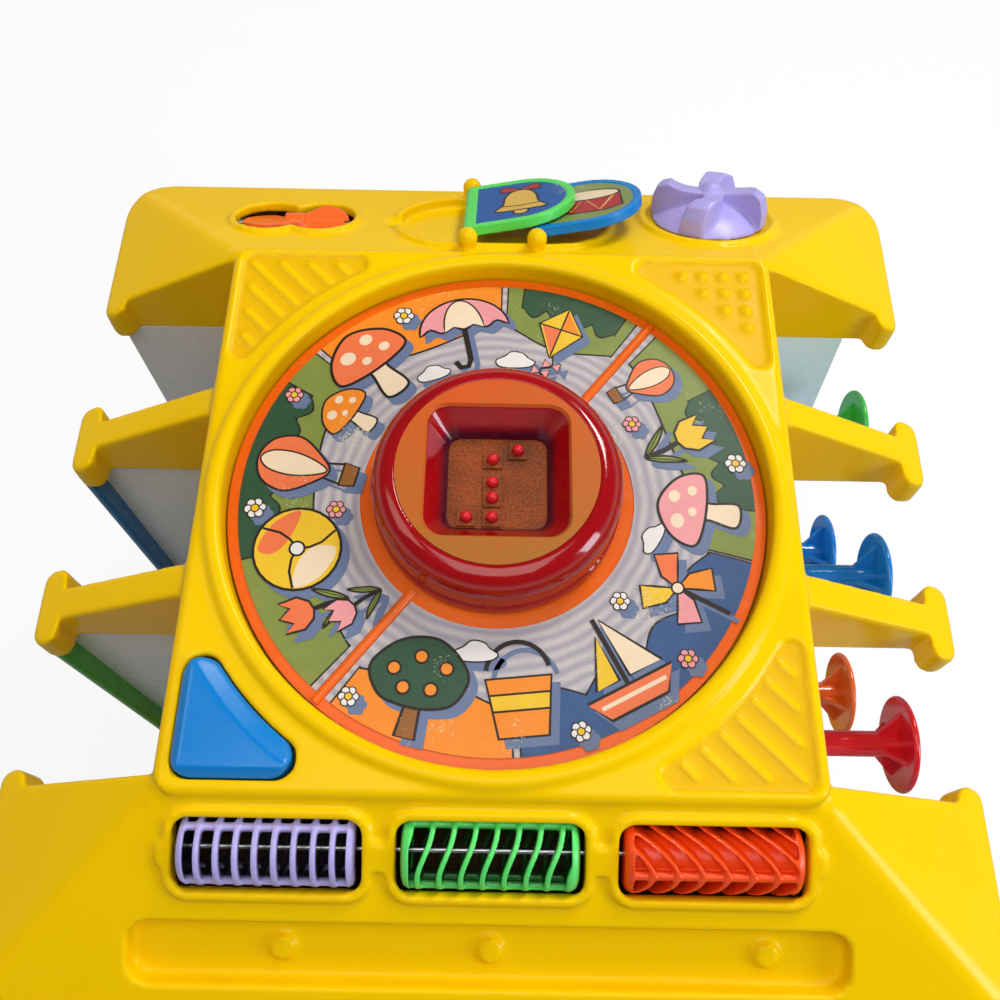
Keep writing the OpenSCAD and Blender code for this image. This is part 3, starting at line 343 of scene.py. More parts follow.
# Painted light: the right bay is the same white plastic as the left, tinted pale blue for the cool light
# that falls on it from the right
skylit_white_abs = moulded("white_abs_with_painted_skylight", "#E8FAFF", "#DCF2FC", 0.2)
orange_abs = moulded("orange_abs_polished", "#F06C0C", "#E65C08", 0.2)
vermilion_abs = moulded("vermilion_abs_polished", "#FA5210", "#EE420C", 0.22)
flame_abs = moulded("flame_orange_abs_polished", "#FF7024", "#F66418", 0.22)
blue_abs = moulded("blue_abs_polished", "#0684D4", "#0478C8", 0.16, gloss=0.3)
blue_rail_abs = moulded("blue_rail_abs_polished", "#1270AE", "#0C629C", 0.22)
green_abs = moulded("green_abs_polished", "#62E466", "#50D656", 0.24)
# This roller material carries a painted shade towards its axis
green_drum_shaded_abs = moulded("green_abs_with_painted_inner_shade", "#66EC78", "#54DE68", 0.24, inner_shade="#12420E")
green_rail_abs = moulded("green_rail_abs_polished", "#46B030", "#3A9E28", 0.24)
lilac_abs = moulded("lilac_abs_polished", "#B4AAEA", "#A69ADE", 0.26)
# This roller material carries a painted shade towards its axis
lilac_drum_shaded_abs = moulded("lilac_abs_with_painted_inner_shade", "#BAB2EC", "#ACA2E0", 0.26, inner_shade="#1E1822")
scarlet_abs = moulded("scarlet_abs_polished", "#E3202C", "#CC1622", 0.22)
# The dark purple is a painted shade on the cup walls
ruby_styrene = tinted("ruby_styrene", "#B40812", "#84040A", 0.07, 0.0, cup="#4A0C22")
amber_etched = mottled("amber_styrene_etched", "#D8500C", "#A2681A", 22.0, 2.0, 0.5, 0.08, fade_mm=40.0)
brown_etched = mottled("brown_styrene_etched", "#A44A14", "#5E2E0C", 16.0, 1.0, 0.62, 0.3)
red_clear = tinted("red_styrene", "#F02434", "#D81624", 0.1, 0.15)
blue_clear = tinted("blue_styrene", "#1C8CE6", "#0C74CE", 0.1, 0.15)
green_clear = tinted("green_styrene", "#4CCA5A", "#34B44A", 0.1, 0.15)
orange_clear = tinted("orange_styrene", "#FF7428", "#F46018", 0.1, 0.15)
steel = drawn_steel("plated_steel")
foot_rubber = mottled("foot_rubber", "#3E3E42", "#2E2E32", 8.0, 0.8, 0.8, 0.2)
key_rubber = mottled("key_rubber", "#D8D4CC", "#C8C4BC", 8.0, 0.8, 0.7, 0.1)
circuit_board = moulded("circuit_board_green", "#2F7D4A", "#276C3E", 0.35)
cell_jacket = moulded("cell_jacket_grey", "#5D6166", "#50545A", 0.3)
cone_paper = mottled("speaker_paper", "#3A3A3E", "#2A2A2E", 6.0, 0.7, 0.85, 0.3)

INKS = {
    "line": film("ink_dark_outline", "#2A2018", "#1E1610"),
    "path": film("ink_grey_lilac_ripples", "#C2BAB8", "#A29CA6", ripple_mm=5.0),
    "water": film("ink_deep_blue", "#3E5E90", "#2C4A78"),
    "shade": film("ink_slate_shadow", "#6E7C9C", "#5C6C90"),
    "olive": film("ink_olive", "#8A9646", "#6E7E38"),
    "leaf": film("ink_dark_green", "#33583C", "#22462E"),
    "orange": film("ink_orange", "#F29424", "#E67A18"),
    "coral": film("ink_coral", "#EE7C4A", "#E2683A"),
    "cream": film("ink_cream", "#F0DCC0", "#E4CBA8"),
    "pink": film("ink_pink", "#EDA0A0", "#DE8A90"),
    "yellow": film("ink_yellow", "#EFC62A", "#E0B01C"),
    "brown": film("ink_brown", "#9A6228", "#84501E"),
    "white": film("ink_white", "#ECE8E4", "#DCD6D2"),
    "royal": film("ink_royal_blue", "#0E5CAE", "#0A468E"),
    "moss": film("ink_moss", "#8C9A54", "#6C7E40"),
    "crimson": film("ink_crimson", "#B8262C", "#9C1A22"),
    "gold": film("ink_gold", "#E8C25A", "#C99A34"),
}

FINISHES = {
    "cap": yellow_abs, "deck": yellow_abs, "base_tray": yellow_abs, "battery_door": yellow_abs,
    "turntable": orange_abs, "picture_sheets": INKS["path"], "glide_ring": white_abs,
    "reader_dome": ruby_styrene, "reader_face": amber_etched, "reader_floor": brown_etched,
    "reader_keypad": key_rubber, "reader_board": circuit_board,
    "corner_button": blue_abs, "button_spring": steel, "button_seat": white_abs,
    "lilac_roller": lilac_drum_shaded_abs, "green_roller": green_drum_shaded_abs, "orange_roller": vermilion_abs,
    "roller_axle": steel,
    "paddle": flame_abs, "paddle_axle": steel, "green_page": green_abs, "blue_page": blue_abs,
    "green_page_picture": INKS["royal"], "blue_page_picture": INKS["moss"], "page_pins": steel,
    "spin_knob": lilac_abs, "knob_screw": steel, "left_bay": white_abs, "right_bay": skylit_white_abs,
    "front_housing": white_abs, "back_housing": white_abs,
    "back_divider": white_abs, "front_divider": white_abs,
    "blue_rail": blue_rail_abs, "green_rail": green_rail_abs,
    "feet": foot_rubber, "base_screws": steel, "deck_screws": steel,
    "battery_case": white_abs, "battery_cells": cell_jacket, "battery_contacts": steel, "door_screw": steel,
    "speaker": cone_paper, "main_board": circuit_board,
    "peg_1": red_clear, "peg_2": blue_clear, "peg_3": green_clear, "peg_4": orange_clear,
    "peg_5": blue_clear, "peg_6": green_clear, "peg_7": red_clear, "peg_8": blue_clear,
}
for count in range(1, PINS + 1):
    FINISHES[f"reader_pin_{count}"] = scarlet_abs


def coat(obj, *finishes):
    """Gives an object these materials, in the order of its faces' material numbers."""
    for finish in finishes:
        obj.data.materials.append(finish)


for node_name, node_finish in FINISHES.items():
    for holder in NODES[node_name].material_slots:
        holder.material = node_finish


# Soft moulded copies of CAD solids

def link(name, data):
    """A new object of this mesh, lamp or camera, in the scene."""
    made = bpy.data.objects.new(name, data)
    bpy.context.scene.collection.objects.link(made)
    return made


def settle(piece):
    """Applies a piece's modifiers to its mesh."""
    graph = bpy.context.evaluated_depsgraph_get()
    mesh = bpy.data.meshes.new_from_object(piece.evaluated_get(graph))
    rough = piece.data
    piece.modifiers.clear()
    piece.data = mesh
    bpy.data.meshes.remove(rough)
    mesh.shade_smooth()


def soften(piece, rounds, group=""):
    """Rounds the edges of a piece, or of a group of its points."""
    soft = piece.modifiers.new("soft", "SMOOTH")
    soft.factor = 0.5
    soft.iterations = rounds
    soft.vertex_group = group


def soft_copy(name, body, nodes, finishes, voxel_mm, rounds, keep, melts=(), form=None):
    """Copies CAD solids and rounds their edges as a mould does: voxels, smoothing, then fewer faces.

    Each melt is a number of further rounds and a function that gives a point's share of them.
    A form takes the place of the solids' own meshes.
    """
    joined = form or bmesh.new()
    for node_name in nodes if form is None else ():
        joined.from_mesh(NODES[node_name].data)
    mesh = bpy.data.meshes.new(name)
    joined.to_mesh(mesh)
    joined.free()
    piece = link(name, mesh)
    voxels = piece.modifiers.new("voxels", "REMESH")
    voxels.mode = "VOXEL"
    voxels.voxel_size = voxel_mm * MM
    settle(piece)
    soften(piece, rounds)
    for melt_rounds, share in melts:
        group = piece.vertex_groups.new(name=share.__name__)
        for point in piece.data.vertices:
            weight = share(*(v / MM for v in point.co))
            if weight > 0:
                group.add([point.index], weight, "REPLACE")
        soften(piece, melt_rounds, group.name)
    thin = piece.modifiers.new("thin", "DECIMATE")
    thin.ratio = keep
    settle(piece)
    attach(piece, body)
    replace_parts(piece, *nodes)
    coat(piece, *finishes)
    return piece


def span(node_name):
    """Middle and size of a node's box, in metres."""
    points = [corner[:] for corner in NODES[node_name].bound_box]
    low = Vector(min(values) for values in zip(*points))
    high = Vector(max(values) for values in zip(*points))
    return (low + high) / 2, high - low


def on_pad(centre):
    """Whether a point lies on the floor of a corner pad."""
    x, y, z = (v / MM for v in centre)
    inside = max(abs(x), abs(y)) < PAD_EDGE and math.hypot(x, y) > PAD_ARC
    return inside and PAD_LOW < z < PAD_HIGH and not (x < 0 and y < 0)


def in_shaded_pocket(centre):
    """Whether a point lies deep in the pocket of a roller, where shade is painted."""
    x, y, z = (v / MM for v in centre)
    across = abs(x) if abs(x) < ROLLER_PITCH / 2 else abs(abs(x) - ROLLER_PITCH)
    tilt = math.radians(SLOPE_DEG)
    up = (z - ROLLER_Z) * math.cos(tilt) - (y - ROLLER_Y) * math.sin(tilt)
    near = math.hypot(y - ROLLER_Y, z - ROLLER_Z) < ROLLER_R + POCKET_WALL
    return across < POCKET_HALF and up < POCKET_TOP and near


# How far the extra rounding of the shell reaches, in mm
HIP_REACH = 14.0
HIP_LOW = 6.0
HIP_START = 1.0
FOOT_REACH = 4.0
FOOT_UNDER = 2.0
EDGE_REACH = 12.0
EDGE_FADE = 6.0
EDGE_HEIGHT = 8.0
FACING_UP = 0.8  # the least upward part of a pad floor's normal


def hip(x, y, z):
    """Share of a point near the ridges where two slopes meet."""
    on_corner = min(abs(x), abs(y)) > DECK_HALF + HIP_START and z > SLOPE_FOOT - HIP_LOW
    return max(0.0, 1 - abs(abs(x) - abs(y)) / HIP_REACH) if on_corner else 0.0


def deck_foot(x, y, z):
    """Share of a point in the corner where the deck stands on the slopes."""
    out = max(abs(x), abs(y)) - DECK_HALF
    return max(0.0, 1 - abs(z - SLOPE_TOP) / FOOT_REACH) if -FOOT_UNDER < out < FOOT_REACH else 0.0


def lower_edge(x, y, z):
    """Share of a point along the lower edge of the slopes."""
    inset = CAP_HALF - max(abs(x), abs(y))
    near = abs(z - SLOPE_FOOT) < EDGE_HEIGHT
    return min(1.0, max(0.0, (EDGE_REACH - inset) / EDGE_FADE)) if near else 0.0


shell = soft_copy(
    "moulded_shell", "body", ["cap", "deck"], [yellow_abs, pad_abs, pocket_shade_abs],
    voxel_mm=1.1, rounds=7, keep=0.3, melts=[(90, hip), (14, deck_foot), (22, lower_edge)],
)
for face in shell.data.polygons:
    if face.normal.z > FACING_UP and on_pad(face.center):
        face.material_index = 1
    # Faces deep in a roller pocket get the painted shade
    elif in_shaded_pocket(face.center):
        face.material_index = 2

soft_copy("moulded_button", "button", ["corner_button"], [blue_abs],
          voxel_mm=0.8, rounds=8, keep=0.5)
for tint, finish in (("lilac", lilac_drum_shaded_abs), ("green", green_drum_shaded_abs), ("orange", vermilion_abs)):
    soft_copy(f"{tint}_rolling_drum", f"{tint}_drum", [f"{tint}_roller"], [finish],
              voxel_mm=0.5, rounds=5, keep=0.5)


def ribbed_paddle():
    """The paddle's form with a round rib along its axle."""
    made = bmesh.new()
    made.from_mesh(NODES["paddle"].data)
    axle_middle, axle_size = span("paddle_axle")
    _, paddle_size = span("paddle")
    radius = axle_size.z / 2 + RIB_WALL * MM
    bmesh.ops.create_cone(
        made, cap_ends=True, segments=24, radius1=radius, radius2=radius,
        depth=paddle_size.x - RIB_SHORT * MM,
        matrix=Matrix.Translation(axle_middle) @ Matrix.Rotation(math.radians(90), 4, "Y"),
    )
    return made


soft_copy("moulded_paddle", "flipper", ["paddle"], [flame_abs],
          voxel_mm=0.6, rounds=6, keep=0.5, form=ribbed_paddle())
soft_copy("moulded_knob", "pinwheel", ["spin_knob"], [lilac_abs],
          voxel_mm=0.7, rounds=9, keep=0.5)
for tint, finish in (("blue", blue_rail_abs), ("green", green_rail_abs)):
    soft_copy(f"{tint}_chute_rail", "body", [f"{tint}_rail"], [finish],
              voxel_mm=0.9, rounds=6, keep=0.3)
soft_copy("ruby_dome", "body", ["reader_dome"], [ruby_styrene],
          voxel_mm=0.6, rounds=3, keep=0.4)


# Rubber keys under the reader pins: a mat, and a key under each pin with a mesh of its own

def rubber(name, form):
    """A piece of key rubber from a form."""
    mesh = bpy.data.meshes.new(name)
    form.to_mesh(mesh)
    form.free()
    piece = link(name, mesh)
    coat(piece, key_rubber)
    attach(piece, "body")
    return piece


mat_form = bmesh.new()
mat_scale = Matrix.Diagonal((2 * MAT_HALF * MM, 2 * MAT_HALF * MM, (KEY_FOOT - MAT_FOOT) * MM, 1))
mat_place = Matrix.Translation((0, 0, (MAT_FOOT + KEY_FOOT) / 2 * MM))
bmesh.ops.create_cube(mat_form, matrix=mat_place @ mat_scale)
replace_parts(rubber("key_mat", mat_form), "reader_keypad")
for count in range(1, PINS + 1):
    middle, _ = span(f"reader_pin_{count}")
    key_form = bmesh.new()
    bmesh.ops.create_cone(
        key_form, cap_ends=True, segments=24, radius1=KEY_R * MM, radius2=KEY_R * MM,
        depth=(KEY_TOP - KEY_FOOT) * MM,
        matrix=Matrix.Translation((middle.x, middle.y, (KEY_FOOT + KEY_TOP) / 2 * MM)),
    )
    key = rubber(f"key_{count}", key_form)
    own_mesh(key)


# Printed pictures: flat shapes of ink, each a hair above the one below it

LAYER = 0.012  # mm
RING_STEPS = 60
LOOP_STEPS = 6


def oval(x, y, rx, ry=None, start=0.0, end=360.0, count=28):
    """Points on an ellipse, or on an arc of one."""
    ry = rx if ry is None else ry
    closed = end - start >= 360
    steps = count if closed else count - 1
    return [
        (x + rx * math.cos(math.radians(start + (end - start) * i / steps)),
         y + ry * math.sin(math.radians(start + (end - start) * i / steps)))
        for i in range(count)
    ]


def loop(points):
    """Smooth closed line through a few points."""
    out = []
    n = len(points)
    for i in range(n):
        p0, p1, p2, p3 = (Vector(points[(i + k - 1) % n]) for k in range(4))
        for j in range(LOOP_STEPS):
            t = j / LOOP_STEPS
            bend = (2 * p0 - 5 * p1 + 4 * p2 - p3) * t ** 2
            twist = (3 * p1 - p0 - 3 * p2 + p3) * t ** 3
            out.append(tuple(0.5 * (2 * p1 + (p2 - p0) * t + bend + twist)))
    return out


def stroke(points, width):
    """A line of even width."""
    left, right = [], []
    for i, p in enumerate(points):
        a = Vector(points[max(i - 1, 0)])
        b = Vector(points[min(i + 1, len(points) - 1)])
        side = (b - a).orthogonal().normalized() * width / 2
        left.append(tuple(Vector(p) + side))
        right.append(tuple(Vector(p) - side))
    return left + right[::-1]


def area(points):
    """Area inside a line, below zero where it runs clockwise."""
    return sum(a[0] * b[1] - b[0] * a[1] for a, b in zip(points, points[1:] + points[:1])) / 2


def grown(points, width):
    """The outline moved outwards by a width."""
    way = 1 if area(points) > 0 else -1
    out = []
    n = len(points)
    for i, p in enumerate(points):
        along = Vector(points[(i + 1) % n]) - Vector(points[i - 1])
        if along.length == 0:
            out.append(p)
            continue
        side = Vector((along.y, -along.x)).normalized() * width * way
        out.append((p[0] + side.x, p[1] + side.y))
    return out


def edged(ink, points, line=0.9):
    """A shape with a dark line round it."""
    return [("line", grown(points, line / 2)), (ink, grown(points, -line / 2))]


def balloon():
    """Striped balloon with a basket."""
    skin = loop([(0, -12), (-6, -7), (-12, 3), (-9, 13), (0, 17), (9, 13), (12, 3), (6, -7)])
    stripe = loop([(0, -11), (-3, -6), (-5, 3), (-4, 12), (0, 16), (4, 12), (5, 3), (3, -6)])
    basket = [(-4, -23), (4, -23), (5, -17), (-5, -17)]
    ropes = [("line", stroke([(s * 4.4, -17), (s * 3, -9)], 0.8)) for s in (-1, 1)]
    return ropes + edged("coral", skin) + edged("cream", stripe, 0.7) + edged("brown", basket)


def kite():
    """Four-coloured kite with bows on its tail."""
    tail = [(0, -13), (3, -18), (-2, -22), (2, -27), (0, -31)]
    out = [("line", stroke(loop(tail)[:24], 0.8))]
    out += edged("yellow", [(0, 16), (11, 3), (0, -14), (-11, 3)])
    out += [("orange", [(0, 14.5), (9.6, 3), (0, 3)]), ("coral", [(0, 3), (-9.6, 3), (0, -12.4)])]
    out += [("line", stroke([(0, 15), (0, -13)], 0.8)), ("line", stroke([(-10.5, 3), (10.5, 3)], 0.8))]
    for x, y in ((2.5, -18), (-1.5, -23)):
        out += edged("pink", [(x, y), (x - 4, y + 2.5), (x - 4, y - 2.5)], 0.7)
        out += edged("pink", [(x, y), (x + 4, y - 2.5), (x + 4, y + 2.5)], 0.7)
    return out


def umbrella():
    """Open umbrella with a hooked handle."""
    top = oval(0, 0, 18, 15, 0, 180, 24)
    hem = [(-18 + 1.5 * k, 2.4 * math.sin(math.pi * k / 6) ** 2) for k in range(1, 24)]
    hook = [(0, 12), (0, -14), (-1.5, -17), (-4.5, -17), (-6, -14)]
    gore = oval(0, 0, 8, 14.4, 0, 180, 16) + [(-4, 2), (0, 0.5), (4, 2)]
    return [("line", stroke(hook, 2.2))] + edged("pink", top + hem) + edged("cream", gore, 0.7)


def mushroom(cap_ink):
    """Mushroom with a spotted cap."""
    stem = loop([(-4, -12), (4, -12), (3, -3), (3.4, 3), (-3.4, 3), (-3, -3)])
    cap = loop([(-13, 1), (-10, 9), (0, 14), (10, 9), (13, 1), (6, -1.5), (-6, -1.5)])
    out = edged("cream", stem) + edged(cap_ink, cap)
    for x, y, r in ((-5, 7, 2.6), (3.5, 9, 2.2), (6.5, 3.5, 1.8), (-1, 2.6, 1.6)):
        out.append(("cream", oval(x, y, r, r * 0.85, count=14)))
    return out


def ball():
    """Beach ball of four colours."""
    out = edged("yellow", oval(0, 0, 14))
    out.append(("coral", loop([(0, 13), (-8, 9), (-12.6, 0), (-8, -2), (-3, 3)])))
    out.append(("cream", loop([(0, -13), (8, -9.5), (12.6, 0), (6, 1), (1, -4)])))
    for start in (0, 120, 240):
        turns = [(r, math.radians(start + 2.2 * r)) for r in (0, 4, 8, 13.4)]
        out.append(("line", stroke([(r * math.cos(a), r * math.sin(a)) for r, a in turns], 0.8)))
    return out + edged("white", oval(0, 0, 2.4, count=14), 0.7)


def tulip(ink):
    """Tulip on a stem with two leaves."""
    out = [("line", stroke([(0, -14), (0.6, -6), (0, 2)], 1.8))]
    for s in (-1, 1):
        out += edged("olive", loop([(0, -14), (s * 4, -10), (s * 8, -2), (s * 3, -7)]), 0.7)
    cup = [(-6, 11), (-6.5, 4), (-3.5, 0), (0, -1), (3.5, 0), (6.5, 4), (6, 11)]
    return out + edged(ink, cup + [(3, 7.5), (0, 12), (-3, 7.5)])


def tree():
    """Round fruit tree."""
    trunk = [(-3, -16), (3, -16), (2, -4), (-2, -4)]
    crown = loop([
        (-11, -5), (-15, 2), (-11, 9), (-5, 13), (3, 14), (10, 10), (14, 4), (11, -4), (3, -7), (-5, -7),
    ])
    out = edged("brown", trunk) + edged("leaf", crown)
    for x, y in ((-8, 3), (-1, 8), (7, 6), (4, -1), (-4, -2)):
        out += edged("orange", oval(x, y, 2.0, count=14), 0.7)
    return out


def pail():
    """Sand pail with a band and a handle."""
    grip = oval(0, 6, 10, 11, 15, 165, 16)
    body = [(-10, 6), (-7.5, -12), (7.5, -12), (10, 6)]
    band = [(-9, 1), (-8.4, -4), (8.4, -4), (9, 1)]
    return [("line", stroke(grip, 1.5))] + edged("orange", body) + edged("yellow", band, 0.7)


def cloud():
    """Small cloud."""
    puffs = [(-9, -3), (-11, 1), (-6, 4), (-2, 7), (4, 6), (7, 3), (11, 0), (8, -3), (0, -4)]
    return edged("white", loop(puffs), 0.8)


def daisy(ink):
    """Small flower with six petals."""
    out = []
    for k in range(6):
        a = math.radians(60 * k)
        out += edged(ink, oval(3.6 * math.cos(a), 3.6 * math.sin(a), 2.3, count=12), 0.7)
    return out + edged("yellow", oval(0, 0, 2.2, count=12), 0.7)


def boat():
    """Sailing boat with two sails."""
    hull = [(-13, -6), (-9, -13), (9, -13), (14, -6)]
    mast = stroke([(0, -6), (0, 15)], 1.4)
    out = [("line", mast)] + edged("coral", hull) + edged("cream", [(1.6, -4), (12, -4), (1.6, 14)])
    out += edged("yellow", [(-1.6, -4), (-9, -4), (-1.6, 10)])
    return out + [("cream", stroke([(-10, -9), (10.5, -9)], 1.2))]


def whirl():
    """Paper windmill on a stick."""
    out = [("line", stroke([(0, 2), (1, -20)], 1.8))]
    for k, ink in enumerate(("coral", "yellow", "pink", "orange")):
        c, s = math.cos(math.radians(90 * k)), math.sin(math.radians(90 * k))
        vane = [(0, 0), (1, 7), (7, 13), (12, 6), (7, 3.5)]
        out += edged(ink, [(x * c - y * s, x * s + y * c) for x, y in vane])
    return out + edged("cream", oval(0, 0, 2.2, count=12), 0.7)


def bell():
    """Hand bell with a bow."""
    body = loop([
        (-9, -9), (-6.5, -4), (-5.5, 4), (-2.5, 9), (2.5, 9), (5.5, 4), (6.5, -4), (9, -9), (0, -10),
    ])
    out = edged("gold", oval(0, -11, 2.8, count=14)) + edged("gold", body)
    out.append(("line", stroke([(-6.8, -5), (0, -6), (6.8, -5)], 0.7)))
    for s in (-1, 1):
        out += edged("crimson", loop([(0, 10), (s * 6, 14), (s * 7, 9)]), 0.7)
    return out


def drum():
    """Toy drum with laced sides."""
    side = [(-12, 5), (-12, -8), (-6, -11), (6, -11), (12, -8), (12, 5)]
    lace = [(-11, 3), (-6, -9), (-1, 2), (4, -10), (10, 3)]
    head = oval(0, 5, 12, 4.5)
    return edged("crimson", side) + [("gold", stroke(lace, 1.0))] + edged("cream", head)


class Sheet:
    """Collects flat shapes of ink into one mesh, on a place in the frame."""

    def __init__(self, place):
        self.place = place
        self.mesh = bmesh.new()
        self.inks = []

    def lay(self, ink, points, level):
        """Adds one flat shape at a level."""
        if ink not in self.inks:
            self.inks.append(ink)
        if area(points) < 0:
            points = points[::-1]
        z = level * LAYER * MM
        corners = [self.mesh.verts.new(self.place @ Vector((x * MM, y * MM, z))) for x, y in points]
        self.mesh.faces.new(corners).material_index = self.inks.index(ink)

    def draw(self, shapes, x, y, turn, size, level):
        """Adds a motif, shape over shape from a level up."""
        c, s = math.cos(math.radians(turn)) * size, math.sin(math.radians(turn)) * size
        for k, (ink, points) in enumerate(shapes):
            self.lay(ink, [(x + px * c - py * s, y + px * s + py * c) for px, py in points], level + k)

    def done(self, name, body):
        """Makes the collected shapes one piece on a body."""
        self.mesh.normal_update()
        bmesh.ops.triangulate(self.mesh, faces=self.mesh.faces[:], ngon_method="EAR_CLIP")
        mesh = bpy.data.meshes.new(name)
        self.mesh.to_mesh(mesh)
        self.mesh.free()
        piece = link(name, mesh)
        coat(piece, *(INKS[ink] for ink in self.inks))
        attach(piece, body)
        return piece


def ring_part(start, end, inner, outer):
    """Part of the ring between two angles, with edges that may follow the angle."""
    angles = [start + (end - start) * i / RING_STEPS for i in range(RING_STEPS + 1)]

    def edge(radius):
        reach = radius if callable(radius) else (lambda a: radius)
        return [
            (reach(a) * math.cos(math.radians(a)), reach(a) * math.sin(math.radians(a))) for a in angles
        ]

    return edge(outer) + edge(inner)[::-1]


def spokes_clear(start, end, inner, outer):
    """A half sheet whose straight edges keep a gap to the spokes."""
    trim_in = math.degrees(math.asin(SPOKE_HALF / inner))
    trim_out = math.degrees(math.asin(SPOKE_HALF / outer))
    rim = ring_part(start + trim_out, end - trim_out, inner, outer)[:RING_STEPS + 1]
    bore = ring_part(start + trim_in, end - trim_in, inner, outer)[RING_STEPS + 1:]
    return rim + bore


disc = Sheet(Matrix.Translation((0, 0, (DISC_TOP + SHEET_T) * MM)))
for begin in (SPOKE_DEG, SPOKE_DEG + 180):
    disc.lay("path", spokes_clear(begin, begin + 180, SHEET_IN, SHEET_OUT), 0)


def scallop(base, depth, bumps, start, end):
    """An edge of round bumps between two angles, as a function of the angle."""
    return lambda a: base - depth * abs(math.sin(math.pi * bumps * (a - start) / (end - start)))


# The ground: ink, first and last angle, radius, and the depth and number of bumps on its inner edge
GROUND_LINE = 0.9
GROUND_END = 0.4
for level, (ink, begin, stop, base, depth, bumps) in enumerate((
    ("olive", 140, 229, 88, 10, 1), ("leaf", 150, 196, 97, 5, 6), ("olive", 55, 88, 88, 9, 1),
    ("orange", 90, 138, 90, 9, 1), ("leaf", 58, 84, 99, 5, 4), ("water", 276, 345, 92, 7, 4),
    ("olive", -14, 49, 90, 10, 1), ("leaf", -2, 30, 98, 5, 5), ("orange", 235, 274, 92, 9, 1),
), start=1):
    inner = scallop(base, depth, bumps, begin, stop)
    outline = scallop(base - GROUND_LINE, depth, bumps, begin, stop)
    disc.lay("line", ring_part(begin - GROUND_END, stop + GROUND_END, outline, SHEET_OUT), 2 * level)
    disc.lay(ink, ring_part(begin, stop, inner, SHEET_OUT), 2 * level + 1)

# The motifs: shapes, radius, angle, turn and size
SHADOW = 3.2
SHADOW_LEVEL = 20
MOTIF_LEVEL = 26
for shapes, radius, angle, turn, size in (
    (kite(), 87, 72, -20, 0.95), (umbrella(), 86, 101, 12, 1.15), (mushroom("coral"), 86, 131, 42, 1.45),
    (mushroom("orange"), 76, 149, 60, 0.95), (balloon(), 86, 171, 78, 1.1), (ball(), 86, 197, 0, 1.3),
    (tulip("coral"), 90, 215, 110, 1.1), (tulip("pink"), 76, 221, 125, 0.95), (tree(), 86, 250, -12, 1.35),
    (pail(), 86, 277, 6, 1.3), (boat(), 87, 304, 28, 1.4), (whirl(), 84, 332, 60, 1.15),
    (mushroom("pink"), 86, 357, 80, 1.3), (tulip("yellow"), 84, 380, 300, 1.25),
    (balloon(), 88, 402, 300, 0.8), (cloud(), 68, 84, 0, 0.8), (cloud(), 67, 116, 20, 0.7),
    (cloud(), 69, 264, 0, 0.8), (cloud(), 68, 345, 60, 0.7),
    (daisy("white"), 102, 116, 0, 0.8), (daisy("pink"), 103, 152, 0, 0.7),
    (daisy("white"), 102, 184, 10, 0.8), (daisy("pink"), 68, 186, 0, 0.7),
    (daisy("white"), 103, 237, 0, 0.7), (daisy("white"), 104, 289, 20, 0.7),
    (daisy("pink"), 103, 318, 0, 0.7), (daisy("white"), 68, 318, 0, 0.7),
    (daisy("white"), 104, 370, 0, 0.8), (daisy("pink"), 69, 392, 0, 0.7),
):
    x = radius * math.cos(math.radians(angle))
    y = radius * math.sin(math.radians(angle))
    silhouette = [("shade", points) for ink, points in shapes if ink == "line"]
    disc.draw(silhouette, x + SHADOW, y - SHADOW, turn, size, SHADOW_LEVEL)
    disc.draw(shapes, x, y, turn, size, MOTIF_LEVEL)
disc_picture = disc.done("disc_picture", "disc")
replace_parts(disc_picture, "picture_sheets")


# Pages: a frame with a print on each face

slope_top = Matrix.Translation((0, DECK_HALF * MM, SLOPE_TOP * MM))
back_slope = slope_top @ Matrix.Rotation(math.radians(-SLOPE_DEG), 4, "X")
# The print over its bed and inside its rim, in mm, then the place, size and level of the motif on it
PRINT_LIFT = 0.1
PRINT_GAP = 0.2
PICTURE_X = 26.0
PICTURE_SIZE = 1.4
PICTURE_LEVEL = 3


def page_outline(inset):
    """A page's edge: straight along the hinge and the sides, round at the far end."""
    r = PAGE_W / 2 - inset
    return [(inset, -r)] + oval(PAGE_LEN - PAGE_W / 2, 0, r, r, start=-90, end=90, count=33) + [(inset, r)]


def page_form(place):
    """A page's frame: a rim round a shallow bed on each face, on a round hinge barrel."""
    made = bmesh.new()
    loops = []
    for inset, z in ((PAGE_BORDER, -PAGE_BED), (PAGE_BORDER, -PAGE_HALF_T), (0, -PAGE_HALF_T),
                     (0, PAGE_HALF_T), (PAGE_BORDER, PAGE_HALF_T), (PAGE_BORDER, PAGE_BED)):
        loops.append([made.verts.new((x * MM, y * MM, z * MM)) for x, y in page_outline(inset)])
    for low, high in zip(loops, loops[1:]):
        for i in range(len(low)):
            made.faces.new((low[i - 1], low[i], high[i], high[i - 1]))
    made.faces.new(loops[0])
    made.faces.new(loops[-1])
    bmesh.ops.create_cone(
        made, cap_ends=True, segments=32, radius1=PAGE_HALF_T * MM, radius2=PAGE_HALF_T * MM,
        depth=PAGE_W * MM,
        matrix=Matrix.Rotation(math.radians(90), 4, "X"),
    )
    bmesh.ops.recalc_face_normals(made, faces=made.faces[:])
    bmesh.ops.transform(made, matrix=place, verts=made.verts[:])
    return made


